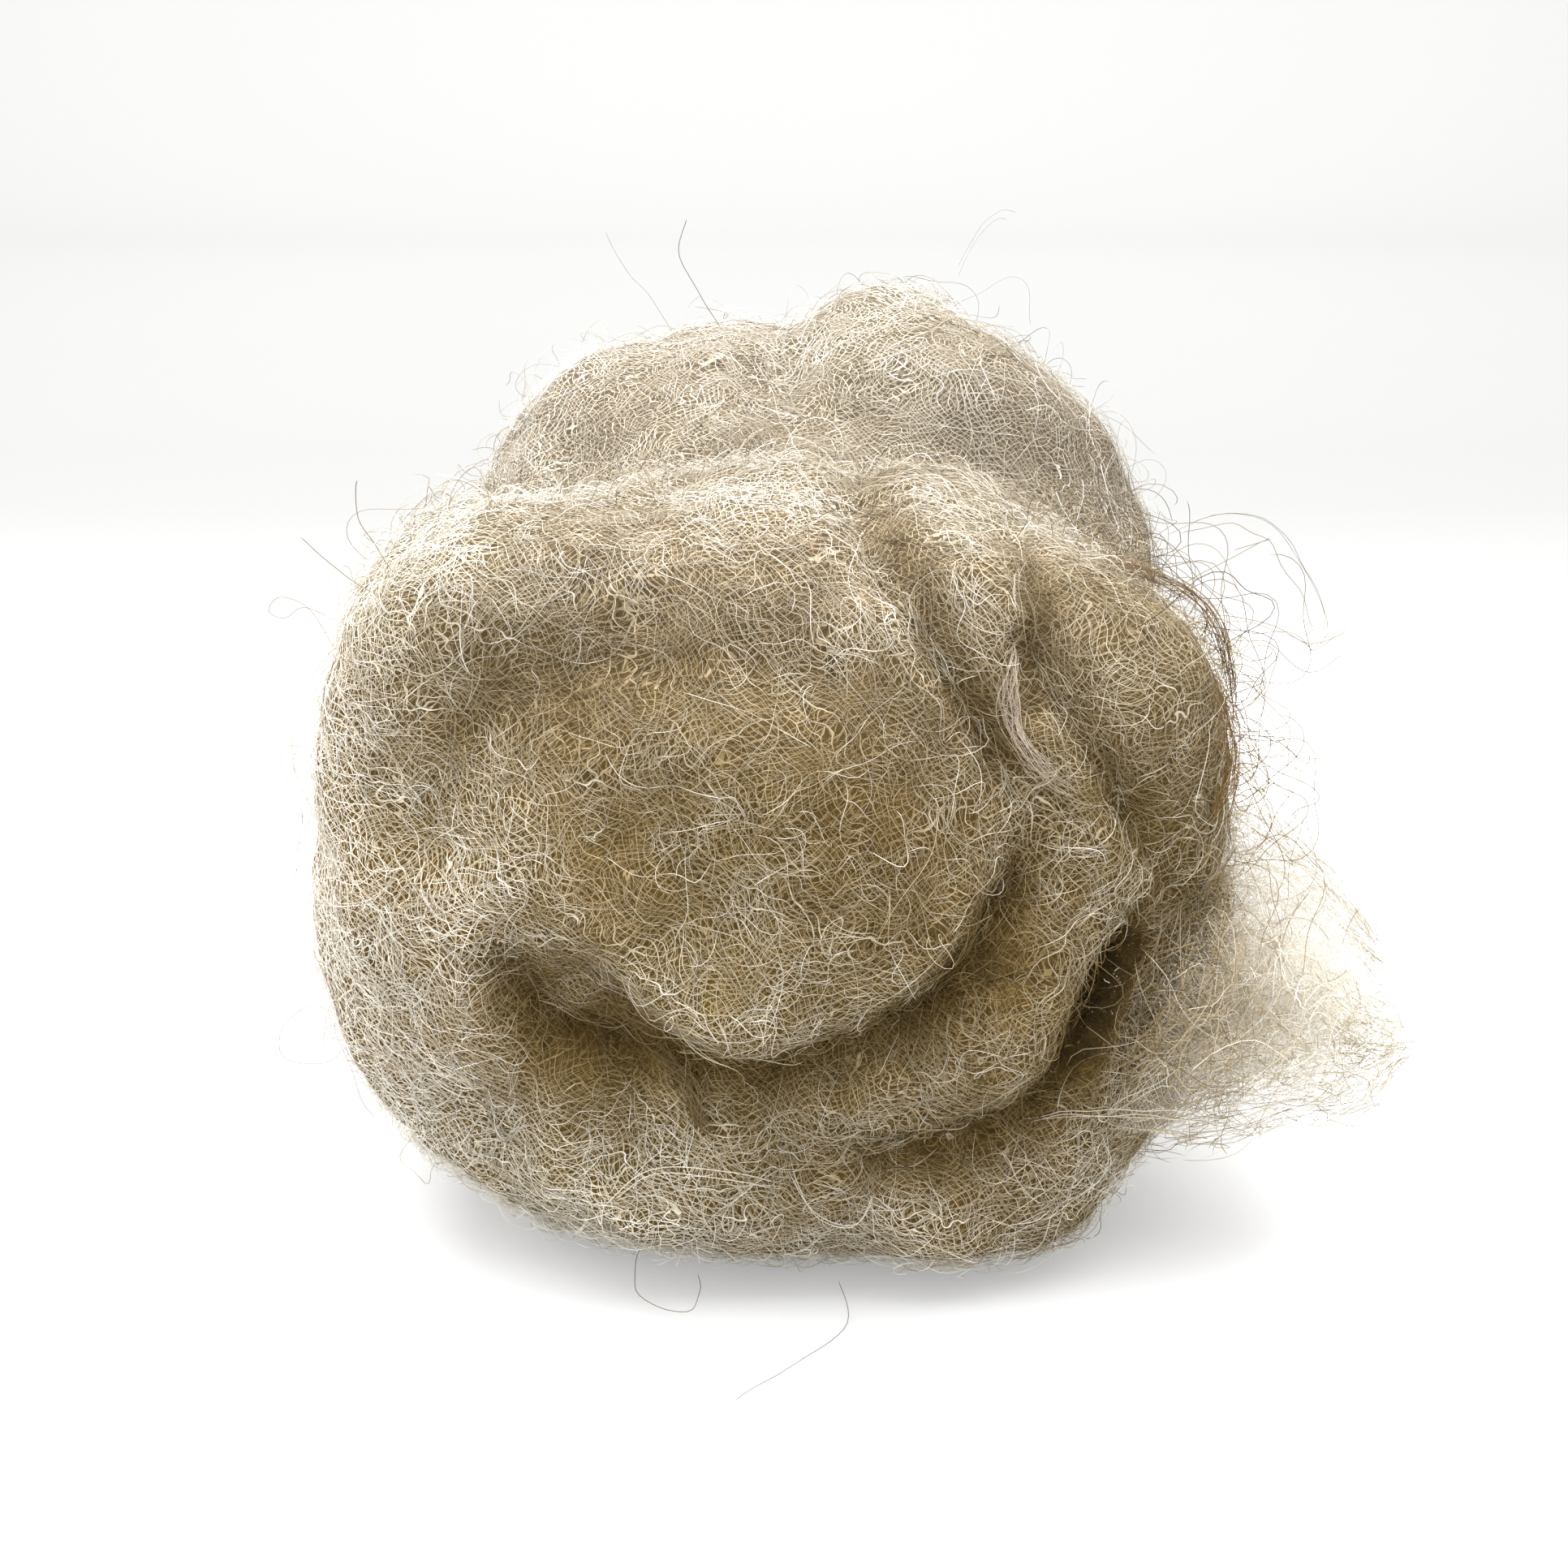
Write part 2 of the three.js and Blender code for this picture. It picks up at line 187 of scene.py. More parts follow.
# weights of seeds: top and elsewhere on the front half, underneath, and off the outline
TOP_WEIGHT, ELSEWHERE_WEIGHT = 0.6, 0.22
UNDER_BACK_WEIGHT, UNDER_WEIGHT = 0.2, 0.05
BACK_OUTLINE_WEIGHT, UNDER_OUTLINE_WEIGHT = 0.35, 0.3
# normals whose z is lower than this face down: on the back half, and elsewhere
FACES_DOWN_BACK, FACES_DOWN = -0.8, -0.5


class Hold(Enum):
    """What a lock of fibres is laid on."""

    FREE = "free"
    SEEN_FROM_FRONT = "seen from front"
    NEAREST = "nearest"


class Layer(Enum):
    """How a layer of fibres lies on the fleece."""

    LYING = "lying"
    FLYAWAY = "flyaway"


def smooth_step(value: np.ndarray) -> np.ndarray:
    """The smooth ramp 3t^2 - 2t^3 of a value held between 0 and 1."""
    held = np.clip(value, 0.0, 1.0)
    return held * held * (3.0 - 2.0 * held)


def rise(value: np.ndarray, start: float, over: float) -> np.ndarray:
    """A smooth rise from 0 at the start to 1 after a stretch."""
    return smooth_step((value - start) / over)


def fall(value: np.ndarray, start: float, over: float) -> np.ndarray:
    """A smooth fall from 1 to 0, which it reaches at the start."""
    return smooth_step((start - value) / over)


def round_reach(across: np.ndarray, up: np.ndarray, squareness: float) -> np.ndarray:
    """Distance of a superellipse of half width 1 along unit directions."""
    return (np.abs(across) ** squareness + np.abs(up) ** squareness) ** (-1 / squareness)


def spline_columns(rows: np.ndarray, key: np.ndarray) -> np.ndarray:
    """Reads a table with a Catmull-Rom spline.

    Args:
        rows: Table whose first column is the key, in rising order.
        key: Values to look up, of any shape.

    Returns:
        The other columns at each key, on a new last axis.
    """
    keys, values = rows[:, 0], rows[:, 1:]
    start = np.clip(np.searchsorted(keys, key, side="right") - 1, 0, len(keys) - 2)
    share = np.clip((key - keys[start]) / (keys[start + 1] - keys[start]), 0.0, 1.0)[..., None]
    before = values[np.maximum(start - 1, 0)]
    after = values[np.minimum(start + 2, len(keys) - 1)]
    first, second = values[start], values[start + 1]
    slope_first, slope_second = (second - before) / 2, (after - first) / 2
    square, cube = share**2, share**3
    return (
        (2 * cube - 3 * square + 1) * first
        + (cube - 2 * square + share) * slope_first
        + (3 * square - 2 * cube) * second
        + (cube - square) * slope_second
    )


def spline_route(points: list[tuple[float, ...]], steps: int) -> np.ndarray:
    """A Catmull-Rom curve through points, with steps samples for each stretch."""
    rows = np.column_stack([np.arange(len(points)), np.array(points, float)])
    return spline_columns(rows, np.linspace(0, len(points) - 1, steps * (len(points) - 1) + 1))


def wave_noise(points: np.ndarray, wavelength: float, seed: int, waves: int = 20) -> np.ndarray:
    """Smooth noise: a sum of cosine waves in random directions, about 1 in spread.

    Args:
        points: Places, with x, y and z on the last axis.
        wavelength: Mean length of the waves, in the same unit.
        seed: Seed of the directions and phases.
        waves: Number of waves.

    Returns:
        One value for each place.
    """
    draw = np.random.default_rng(seed)
    directions = draw.normal(size=(waves, 3))
    directions /= np.linalg.norm(directions, axis=1, keepdims=True)
    numbers = directions * (2 * math.pi / wavelength) * draw.uniform(0.65, 1.4, (waves, 1))
    phases = draw.uniform(0, 2 * math.pi, waves)
    return np.cos(points @ numbers.T + phases).sum(-1) * math.sqrt(2.0 / waves)


def unit(vectors: np.ndarray) -> np.ndarray:
    """Vectors scaled to length 1 along the last axis."""
    return vectors / np.maximum(np.linalg.norm(vectors, axis=-1, keepdims=True), 1e-12)


def mesh_object(name: str, places: np.ndarray, triangles: np.ndarray) -> bpy.types.Object:
    """Makes a smooth mesh object from whole arrays.

    Args:
        name: Name of the object and its mesh.
        places: Vertices in metres, one row each.
        triangles: Vertex numbers, three for each face.

    Returns:
        The object, linked to the scene and standing at the origin.
    """
    mesh = bpy.data.meshes.new(name)
    mesh.vertices.add(len(places))
    mesh.vertices.foreach_set("co", places.astype(np.float32).ravel())
    mesh.loops.add(triangles.size)
    mesh.loops.foreach_set("vertex_index", triangles.astype(np.int32).ravel())
    mesh.polygons.add(len(triangles))
    mesh.polygons.foreach_set("loop_start", np.arange(0, triangles.size, 3, dtype=np.int32))
    mesh.polygons.foreach_set("use_smooth", np.ones(len(triangles), bool))
    mesh.update(calc_edges=True)
    piece = bpy.data.objects.new(name, mesh)
    bpy.context.scene.collection.objects.link(piece)
    return piece


def ring_triangles(rings: int, columns: int) -> np.ndarray:
    """Faces of a closed tube of rings with a pole at each end, facing out.

    The first vertex is the first pole, then come the rings in order, then the last pole. A ring
    runs so that the way along the rings crossed with the way round a ring points out.

    Args:
        rings: Number of rings.
        columns: Vertices of a ring.

    Returns:
        Vertex numbers, three for each face.
    """
    column = np.arange(columns)
    beside = (column + 1) % columns
    first = 1 + np.arange(rings - 1)[:, None] * columns
    near_a, near_b = first + column, first + beside
    far_a, far_b = near_a + columns, near_b + columns
    sides = np.concatenate(
        [np.stack([near_a, far_b, near_b], -1), np.stack([near_a, far_a, far_b], -1)]
    ).reshape(-1, 3)
    last = 1 + rings * columns
    last_ring = 1 + (rings - 1) * columns
    start_cap = np.stack([np.zeros(columns, int), 1 + column, 1 + beside], -1)
    end_cap = np.stack([np.full(columns, last), last_ring + beside, last_ring + column], -1)
    return np.concatenate([start_cap, sides, end_cap])


@dataclass(frozen=True)
class Crease:
    """A trough between two turns of the batt, as seen along the roll, in millimetres.

    Attributes:
        points: Route as (x, z).
        depth: Depth at the line of the crease.
        width: Width on each side of the line.
        undercut: How far its walls are drawn in under the core.
        reach: How far back along the roll it runs.
        dark: How much painted shade darkens the fibres and the fleece in it.
        fade: Share of the route over which it fades at each end.
        left: Share of the depth that is left at its ends.
    """

    points: tuple[tuple[float, float], ...]
    depth: float
    width: float
    undercut: float
    reach: float
    # painted shade in the crease
    dark: float = 0.0
    fade: float = 0.25
    left: float = 0.15

    def share_at(self, places: np.ndarray, root: float) -> np.ndarray:
        """How much of the full depth is reached: (1 - d / width)^2, d from the route.

        Args:
            places: Places as (x, z), one row each.
            root: Distance over which its bottom is rounded.

        Returns:
            Share of the depth at each place.
        """
        route = spline_route(list(self.points), 8)
        gaps = np.linalg.norm(places[:, None, :] - route[None], axis=-1)
        nearest = gaps.argmin(1)
        distance = np.hypot(gaps.min(1), root) - root
        along = nearest / (len(route) - 1)
        ends = smooth_step(along / self.fade) * smooth_step((1 - along) / self.fade)
        return np.clip(1 - distance / self.width, 0, 1) ** 2 * (self.left + (1 - self.left) * ends)


@dataclass(frozen=True)
class Swell:
    """A soft swelling, or a hollow where height is negative, as seen along the roll."""

    x: float
    z: float
    radius_x: float
    radius_z: float
    height: float

    def height_at(self, places: np.ndarray) -> np.ndarray:
        """Height of the Gaussian mound at each (x, z).

        Args:
            places: Places as (x, z), one row each.

        Returns:
            One height for each place.
        """
        across = (places[:, 0] - self.x) / self.radius_x
        up = (places[:, 1] - self.z) / self.radius_z
        return self.height * np.exp(-(across**2 + up**2))


@dataclass
class WoundForm:
    """The drawn-in roll with its wound face, in millimetres about the roll's own axis."""

    front_cap: float = 28.0
    back_cap: float = 26.0
    section_squareness: float = 2.6
    cap_squareness: float = 2.5
    crease_root: float = 0.9
    crease_fade: float = 16.0
    shade_past: float = 6.0
    floor_fade: float = 9.0
    core: tuple[float, float] = (-4.0, 52.0)
    # y where a form begins, and the stretch over which it grows
    face_start: tuple[float, float] = (-48, 14)
    shoulder_start: tuple[float, float] = (-8, 22)
    back_face_start: tuple[float, float] = (56, 14)
    back_top_start: tuple[float, float] = (14, 18)
    # number of gathers at the waist, sway, depth, middle and spread along the roll
    gathers: tuple[float, ...] = (9, 1.3, 1.5, 2, 22)
    # height in mm, wavelength in mm, seed
    skin_noises: tuple[tuple[float, float, int], ...] = ((0.42, 19, 3), (0.16, 7, 4))
    # y, half width, bottom, top, centre x
    sections: np.ndarray = field(
        default_factory=lambda: np.array(
            [
                (-46, 55.5, -2, 93.5, 0),
                (-28, 54.5, -2, 93, 0),
                (-12, 50.5, 0, 89, 0.5),
                (1, 46.5, 3, 84, 1),
                (13, 48.5, 2, 87, 2),
                (26, 53.5, -2, 94, 3.5),
                (42, 55.5, -2, 97.5, 5),
                (56, 54.5, -2, 97, 5),
            ],
            float,
        )
    )
    front_creases: tuple[Crease, ...] = (
        Crease(((-36, 60), (-35, 70), (-25, 79), (-8, 81), (6, 78), (15, 73)), 2.0, 10, 0, -52, 0.08),
        Crease(((6, 97), (14, 89), (20, 80), (25, 71), (28, 66)), 3.5, 4, 0.5, -14, 0.34),
        Crease(
            ((30, 63), (27.5, 55), (21.5, 45.5), (11.5, 37.5), (-1, 34), (-13, 38), (-25, 48)),
            6.5, 6.5, 1.2, -40, 0.42,
        ),
        Crease(
            ((-31, 50), (-28.5, 44), (-25.5, 38), (-17, 34.5), (-9.5, 32)), 4.5, 6, 0, -50, 0.42
        ),
        Crease(((4, 21), (19, 22), (31, 28), (37, 38), (43, 47)), 4.5, 6, 0.5, -24, 0.38),
        Crease(((34, 31.5), (37, 37), (39.5, 42), (42, 47)), 7.5, 4, 0, -30, 1.5),
        Crease(((28, 92), (30, 82), (35, 72), (41, 63), (45, 52)), 3.5, 4, 0.5, -30, 0.26),
        Crease(((27, 84), (28, 78), (29.5, 73)), 3.0, 4, 0, -40, 0.3),
    )
    front_swells: tuple[Swell, ...] = (
        Swell(-4, 48, 23, 18, 6.5),
        Swell(-2, 43, 14, 9, 3),
        Swell(27, 44, 9, 13, 3),
        Swell(44, 74, 9, 12, 4),
        Swell(-21, 42, 8, 6, -3.5),
        Swell(-12, 14, 30, 9, 2.5),
        Swell(26, 8, 24, 13, 7),
        Swell(50, 36, 10, 14, -4),
    )
    shoulders: tuple[Swell, ...] = (Swell(-45, 84, 15, 14, 4.5),)
    back_humps: tuple[Swell, ...] = (Swell(24, 97, 15, 16, 4), Swell(3, 97, 6, 14, -3))
    spiral_turns: float = 1.3
    spiral_points: int = 11
    spiral_depth: float = 5.5
    spiral_width: float = 12.0
    spiral_radii: tuple[float, float] = (14.0, 44.0)
    spiral_centre: tuple[float, float] = (5.0, 46.0)
    # along x, along y, along z, phase, height
    lumps: tuple[tuple[float, ...], ...] = (
        (0.11, 0.07, 0.09, 0.4, 0.9),
        (-0.07, 0.13, 0.12, 2.1, 0.7),
        (0.19, -0.15, 0.17, 4.0, 0.5),
    )

    def back_crease(self) -> Crease:
        """The far end's even spiral seam: its radius grows with its angle.

        Returns:
            The seam as a crease.
        """
        share = np.linspace(0, 1, self.spiral_points)
        radius = self.spiral_radii[0] + (self.spiral_radii[1] - self.spiral_radii[0]) * share
        angle = share * self.spiral_turns * 2 * math.pi
        centre_x, centre_z = self.spiral_centre
        route = zip(centre_x + radius * np.cos(angle), centre_z + radius * np.sin(angle))
        return Crease(tuple(route), self.spiral_depth, self.spiral_width, 0, 0)

    def even_form(self, angle: np.ndarray, stage: np.ndarray) -> np.ndarray:
        """The roll before its creases: superellipse sections with superelliptic caps.

        Args:
            angle: Angle round the roll's axis, 0 towards +X and rising towards +Z.
            stage: 0 to 1 over the front cap, to 2 along the side, to 3 over the back cap.

        Returns:
            Places in millimetres, on a new last axis.
        """
        first, last = self.sections[0, 0], self.sections[-1, 0]
        power = 2 / self.cap_squareness
        front = np.clip(stage, 0, 1) * math.pi / 2
        back = np.clip(stage - 2, 0, 1) * math.pi / 2
        scale = np.sin(front) ** power * np.maximum(np.cos(back), 0) ** power
        y = first + (last - first) * np.clip(stage - 1, 0, 1)
        y = y - self.front_cap * np.maximum(np.cos(front), 0) ** power * (stage < 1)
        y = y + self.back_cap * np.sin(back) ** power
        half_width, bottom, top, centre_x = np.moveaxis(
            spline_columns(self.sections, np.clip(y, first, last)), -1, 0
        )
        across, up = np.cos(angle), np.sin(angle)
        reach = round_reach(across, up, self.section_squareness)
        return np.stack(
            [
                centre_x + half_width * reach * across * scale,
                y + 0 * angle,
                (top + bottom) / 2 + (top - bottom) / 2 * reach * up * scale,
            ],
            -1,
        )

    def relief(self, places: np.ndarray, angle: np.ndarray) -> tuple[np.ndarray, np.ndarray]:
        """Height over the even form and draw under the core, for places in one list.

        Args:
            places: Places on the even form, one row each.
            angle: Angle round the roll's axis of each place.

        Returns:
            Height and draw of each place, in millimetres.
        """
        plane = places[:, [0, 2]]
        y = places[:, 1]
        height = np.zeros(len(places))
        drawn = np.zeros(len(places))
        for crease in self.front_creases:
            share = crease.share_at(plane, self.crease_root)
            share = share * fall(y, crease.reach, self.crease_fade)
            height -= crease.depth * share
            drawn += crease.undercut * share
        on_face = fall(y, *self.face_start)
        for swell in self.front_swells:
            height += swell.height_at(plane) * on_face
        for shoulder in self.shoulders:
            height += shoulder.height_at(plane) * fall(y, *self.shoulder_start)
        spiral = self.back_crease()
        seam = spiral.share_at(plane, self.crease_root)
        height -= spiral.depth * seam * rise(y, *self.back_face_start)
        for hump in self.back_humps:
            height += hump.height_at(plane) * rise(y, *self.back_top_start)
        number, sway, depth, middle, spread = self.gathers
        gathers = 0.5 + 0.5 * np.cos(number * angle + sway * np.sin(2 * angle))
        height -= depth * gathers * np.exp(-(((y - middle) / spread) ** 2))
        for along_x, along_y, along_z, phase, size in self.lumps:
            height += size * np.sin(places @ np.array([along_x, along_y, along_z]) + phase)
        return height * smooth_step(places[:, 2] / self.floor_fade), drawn

    def crease_shade(self, places: np.ndarray) -> np.ndarray:
        """How much tone the creases' painted shade takes from places on the last axis.

        Args:
            places: Places in the roll's millimetres, of any shape.

        Returns:
            One value for each place.
        """
        flat = places.reshape(-1, 3)
        total = np.zeros(len(flat))
        for crease in self.front_creases:
            fade = fall(flat[:, 1], crease.reach + self.shade_past, self.crease_fade)
            total += crease.dark * crease.share_at(flat[:, [0, 2]], self.crease_root) * fade
        return total.reshape(places.shape[:-1])

    def surface(
        self, angle: np.ndarray, stage: np.ndarray, tufts: float, inset: float = 0.0
    ) -> np.ndarray:
        """The creased surface in millimetres.

        Each place of the even form moves along its normal by the relief and by noise of two
        lengths, and is drawn towards the core inside a crease.

        Args:
            angle: Angles round the axis.
            stage: Stages from the front pole to the back pole, of the same shape.
            tufts: Strength of the noise.
            inset: How far the surface lies under the outline that its fibres reach.

        Returns:
            Places of the given shape, on a new last axis.
        """
        small = 0.004
        places = self.even_form(angle, stage)
        round_way = self.even_form(angle + small, stage) - self.even_form(angle - small, stage)
        along_way = self.even_form(angle, np.minimum(stage + small, 3)) - self.even_form(
            angle, np.maximum(stage - small, 0)
        )
        normals = unit(np.cross(along_way, round_way))
        flat = places.reshape(-1, 3)
        height, drawn = self.relief(flat, angle.ravel())
        noise = sum(size * wave_noise(flat, length, seed) for size, length, seed in self.skin_noises)
        height = height + (tufts * noise - inset) * smooth_step(flat[:, 2] / self.floor_fade)
        inwards = np.array([self.core[0], 0, self.core[1]]) - flat * np.array([1, 0, 1])
        moved = flat + normals.reshape(-1, 3) * height[:, None] + unit(inwards) * drawn[:, None]
        moved[:, 2] = np.maximum(moved[:, 2], 0)
        return moved.reshape(places.shape)


@dataclass
class Placement:
    """Carries the roll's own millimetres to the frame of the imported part."""

    form: WoundForm
    shift: np.ndarray = field(default_factory=lambda: np.zeros(3))

    def fit(self) -> None:
        """Finds the shift that lays the form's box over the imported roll's box."""
        columns, rings, pole = 96, 90, 0.02
        round_way = np.linspace(0, 2 * math.pi, columns + 1)[:-1]
        angle, stage = np.meshgrid(round_way, np.linspace(pole, 3 - pole, rings))
        places = self.form.surface(angle, stage, 0.0).reshape(-1, 3) * MM
        low, high = (np.array(corner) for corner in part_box(ROLL_NODE))
        self.shift = (low + high) / 2 - (places.min(0) + places.max(0)) / 2
        self.shift[2] = 0.0

    def to_frame(self, places: np.ndarray) -> np.ndarray:
        """Places in metres in the frame, from millimetres about the roll's axis."""
        return places * MM + self.shift

    def to_roll(self, places: np.ndarray) -> np.ndarray:
        """Places in millimetres about the roll's axis, from metres in the frame."""
        return (places - self.shift) / MM


class Nodes:
    """Short ways to add and join shader nodes in one material."""

    def __init__(self, name: str) -> None:
        """Makes an empty material.

        Args:
            name: Name of the material.
        """
        self.made = bpy.data.materials.new(name)
        self.made.use_nodes = True
        self.tree = self.made.node_tree
        self.shader = self.tree.nodes["Principled BSDF"]

    def add(self, kind: str, **settings: str) -> bpy.types.Node:
        """A node with its properties set.

        Args:
            kind: Type of the node.
            **settings: Properties and their values.

        Returns:
            The node.
        """
        node = self.tree.nodes.new(kind)
        for key, value in settings.items():
            setattr(node, key, value)
        return node

    def feed(self, socket: Socket, value: Value) -> None:
        """Joins a socket to another, or sets it to a constant.

        Args:
            socket: Input socket.
            value: Output socket or constant.
        """
        if isinstance(value, bpy.types.NodeSocket):
            self.tree.links.new(value, socket)
        else:
            socket.default_value = value

    def math(self, operation: str, first: Value, second: Value = 0.0) -> Socket:
        """One Math node on sockets or numbers.

        Args:
            operation: Name of the operation.
            first: First value.
            second: Second value.

        Returns:
            Its result.
        """
        node = self.add("ShaderNodeMath", operation=operation)
        self.feed(node.inputs[0], first)
        self.feed(node.inputs[1], second)
        return node.outputs[0]

    def vector(self, operation: str, *values: Value) -> Socket:
        """One Vector Math node: its vector, or its value for a dot product.

        Args:
            operation: Name of the operation.
            *values: Vectors in order.

        Returns:
            Its result.
        """
        node = self.add("ShaderNodeVectorMath", operation=operation)
        for socket, value in zip(node.inputs, values):
            self.feed(socket, value)
        return node.outputs["Value" if operation == "DOT_PRODUCT" else "Vector"]

    def noise(self, vector: Value, scale: float, detail: float, output: str) -> Socket:
        """One output of a noise texture: Fac or Color.

        Args:
            vector: Place.
            scale: Number of lumps in a metre.
            detail: Number of finer octaves.
            output: Fac or Color.

        Returns:
            The named output.
        """
        node = self.add("ShaderNodeTexNoise")
        node.inputs["Scale"].default_value = scale
        node.inputs["Detail"].default_value = detail
        self.feed(node.inputs["Vector"], vector)
        return node.outputs[output]

    def attribute(self, name: str) -> Socket:
        """The value of a mesh attribute."""
        return self.add("ShaderNodeAttribute", attribute_name=name).outputs["Fac"]

    def mapped(self, value: Value, limits: tuple[float, ...], kind: str = "LINEAR") -> Socket:
        """A value carried from one range to another: its old limits, then its new ones.

        Args:
            value: Value to carry.
            limits: Least and greatest old value, then the new ones.
            kind: How it runs between them.

        Returns:
            The carried value, held inside the new limits.
        """
        node = self.add("ShaderNodeMapRange", interpolation_type=kind)
        for key, limit in zip(("From Min", "From Max", "To Min", "To Max"), limits):
            node.inputs[key].default_value = limit
        self.feed(node.inputs["Value"], value)
        return node.outputs["Result"]

    def mixed(self, share: Value, first: Socket, second: Socket) -> Socket:
        """Two shaders, with the given share of the second.

        Args:
            share: Share of the second.
            first: First shader.
            second: Second shader.

        Returns:
            The mixed shader.
        """
        node = self.add("ShaderNodeMixShader")
        self.feed(node.inputs["Fac"], share)
        self.feed(node.inputs[1], first)
        self.feed(node.inputs[2], second)
        return node.outputs["Shader"]

    def fall(self, value: Value, outer: float, inner: float) -> Socket:
        """1 where the value is below the inner limit, falling smoothly to 0 at the outer one."""
        return self.mapped(value, (inner, outer, 1.0, 0.0), "SMOOTHSTEP")

    def ramp(self, value: Value, stops: tuple[tuple[float, ...], ...]) -> Socket:
        """A colour ramp of (position, red, green, blue) stops.

        Args:
            value: Where the ramp is read.
            stops: Rows of position, red, green and blue.

        Returns:
            The colour.
        """
        node = self.add("ShaderNodeValToRGB")
        elements = node.color_ramp.elements
        elements[0].position, elements[0].color = stops[0][0], (*stops[0][1:], 1)
        elements[1].position, elements[1].color = stops[-1][0], (*stops[-1][1:], 1)
        for position, *colour in stops[1:-1]:
            elements.new(position).color = (*colour, 1)
        self.feed(node.inputs["Fac"], value)
        return node.outputs["Color"]

    def drifting(self, colour: Value, place: Socket) -> Socket:
        """A colour multiplied by a slow drift of hue.

        Args:
            colour: The colour.
            place: Place in metres.

        Returns:
            The changed colour.
        """
        mix = self.add("ShaderNodeMix", data_type="RGBA", blend_type="MULTIPLY")
        mix.inputs["Factor"].default_value = 1.0
        self.feed(mix.inputs[6], colour)
        self.feed(mix.inputs[7], self.ramp(self.noise(place, DRIFT_SCALE, 1.0, "Fac"), DRIFT))
        return mix.outputs[2]

    def shade_tinted(self, colour: Value, place: Socket, paleness: float = 1.0) -> Socket:
        """A colour with painted shade and light: browner in front, where shade falls, and paler at the
        top and back, where light falls.

        Args:
            colour: The colour.
            place: Place in metres.
            paleness: Factor on the saturation.

        Returns:
            The changed colour.
        """
        saturations = (SHADE_SATURATION[0] * paleness, SHADE_SATURATION[1] * paleness)
        away = self.vector("DOT_PRODUCT", place, LIGHT_PALER_WAY)
        shade = self.add("ShaderNodeHueSaturation")
        self.feed(shade.inputs["Saturation"], self.mapped(away, (LIGHT_PALER_FROM, LIGHT_PALER_TO, *saturations)))
        self.feed(shade.inputs["Color"], colour)
        return shade.outputs["Color"]

    def coat(self, colour: Value, roughness: float, shine: float) -> None:
        """Sets the colour, roughness and shine of the main shader.

        Args:
            colour: Base colour.
            roughness: Roughness, from 0 to 1.
            shine: Strength of the reflection, from 0 to 1.
        """
        self.feed(self.shader.inputs["Base Color"], colour)
        self.shader.inputs["Roughness"].default_value = roughness
        self.shader.inputs["Specular IOR Level"].default_value = shine

    def glowing(self, colour: Value, share: float) -> Socket:
        """The main shader, with a share of it that lets light through.

        Args:
            colour: Colour of that light.
            share: Share that lets light through.

        Returns:
            The mixed shader.
        """
        glow = self.add("ShaderNodeBsdfTranslucent")
        self.feed(glow.inputs["Color"], colour)
        return self.mixed(share, self.shader.outputs["BSDF"], glow.outputs["BSDF"])

    def finish(self, surface: Socket) -> None:
        """Joins a shader to the material's output."""
        self.feed(self.tree.nodes["Material Output"].inputs["Surface"], surface)


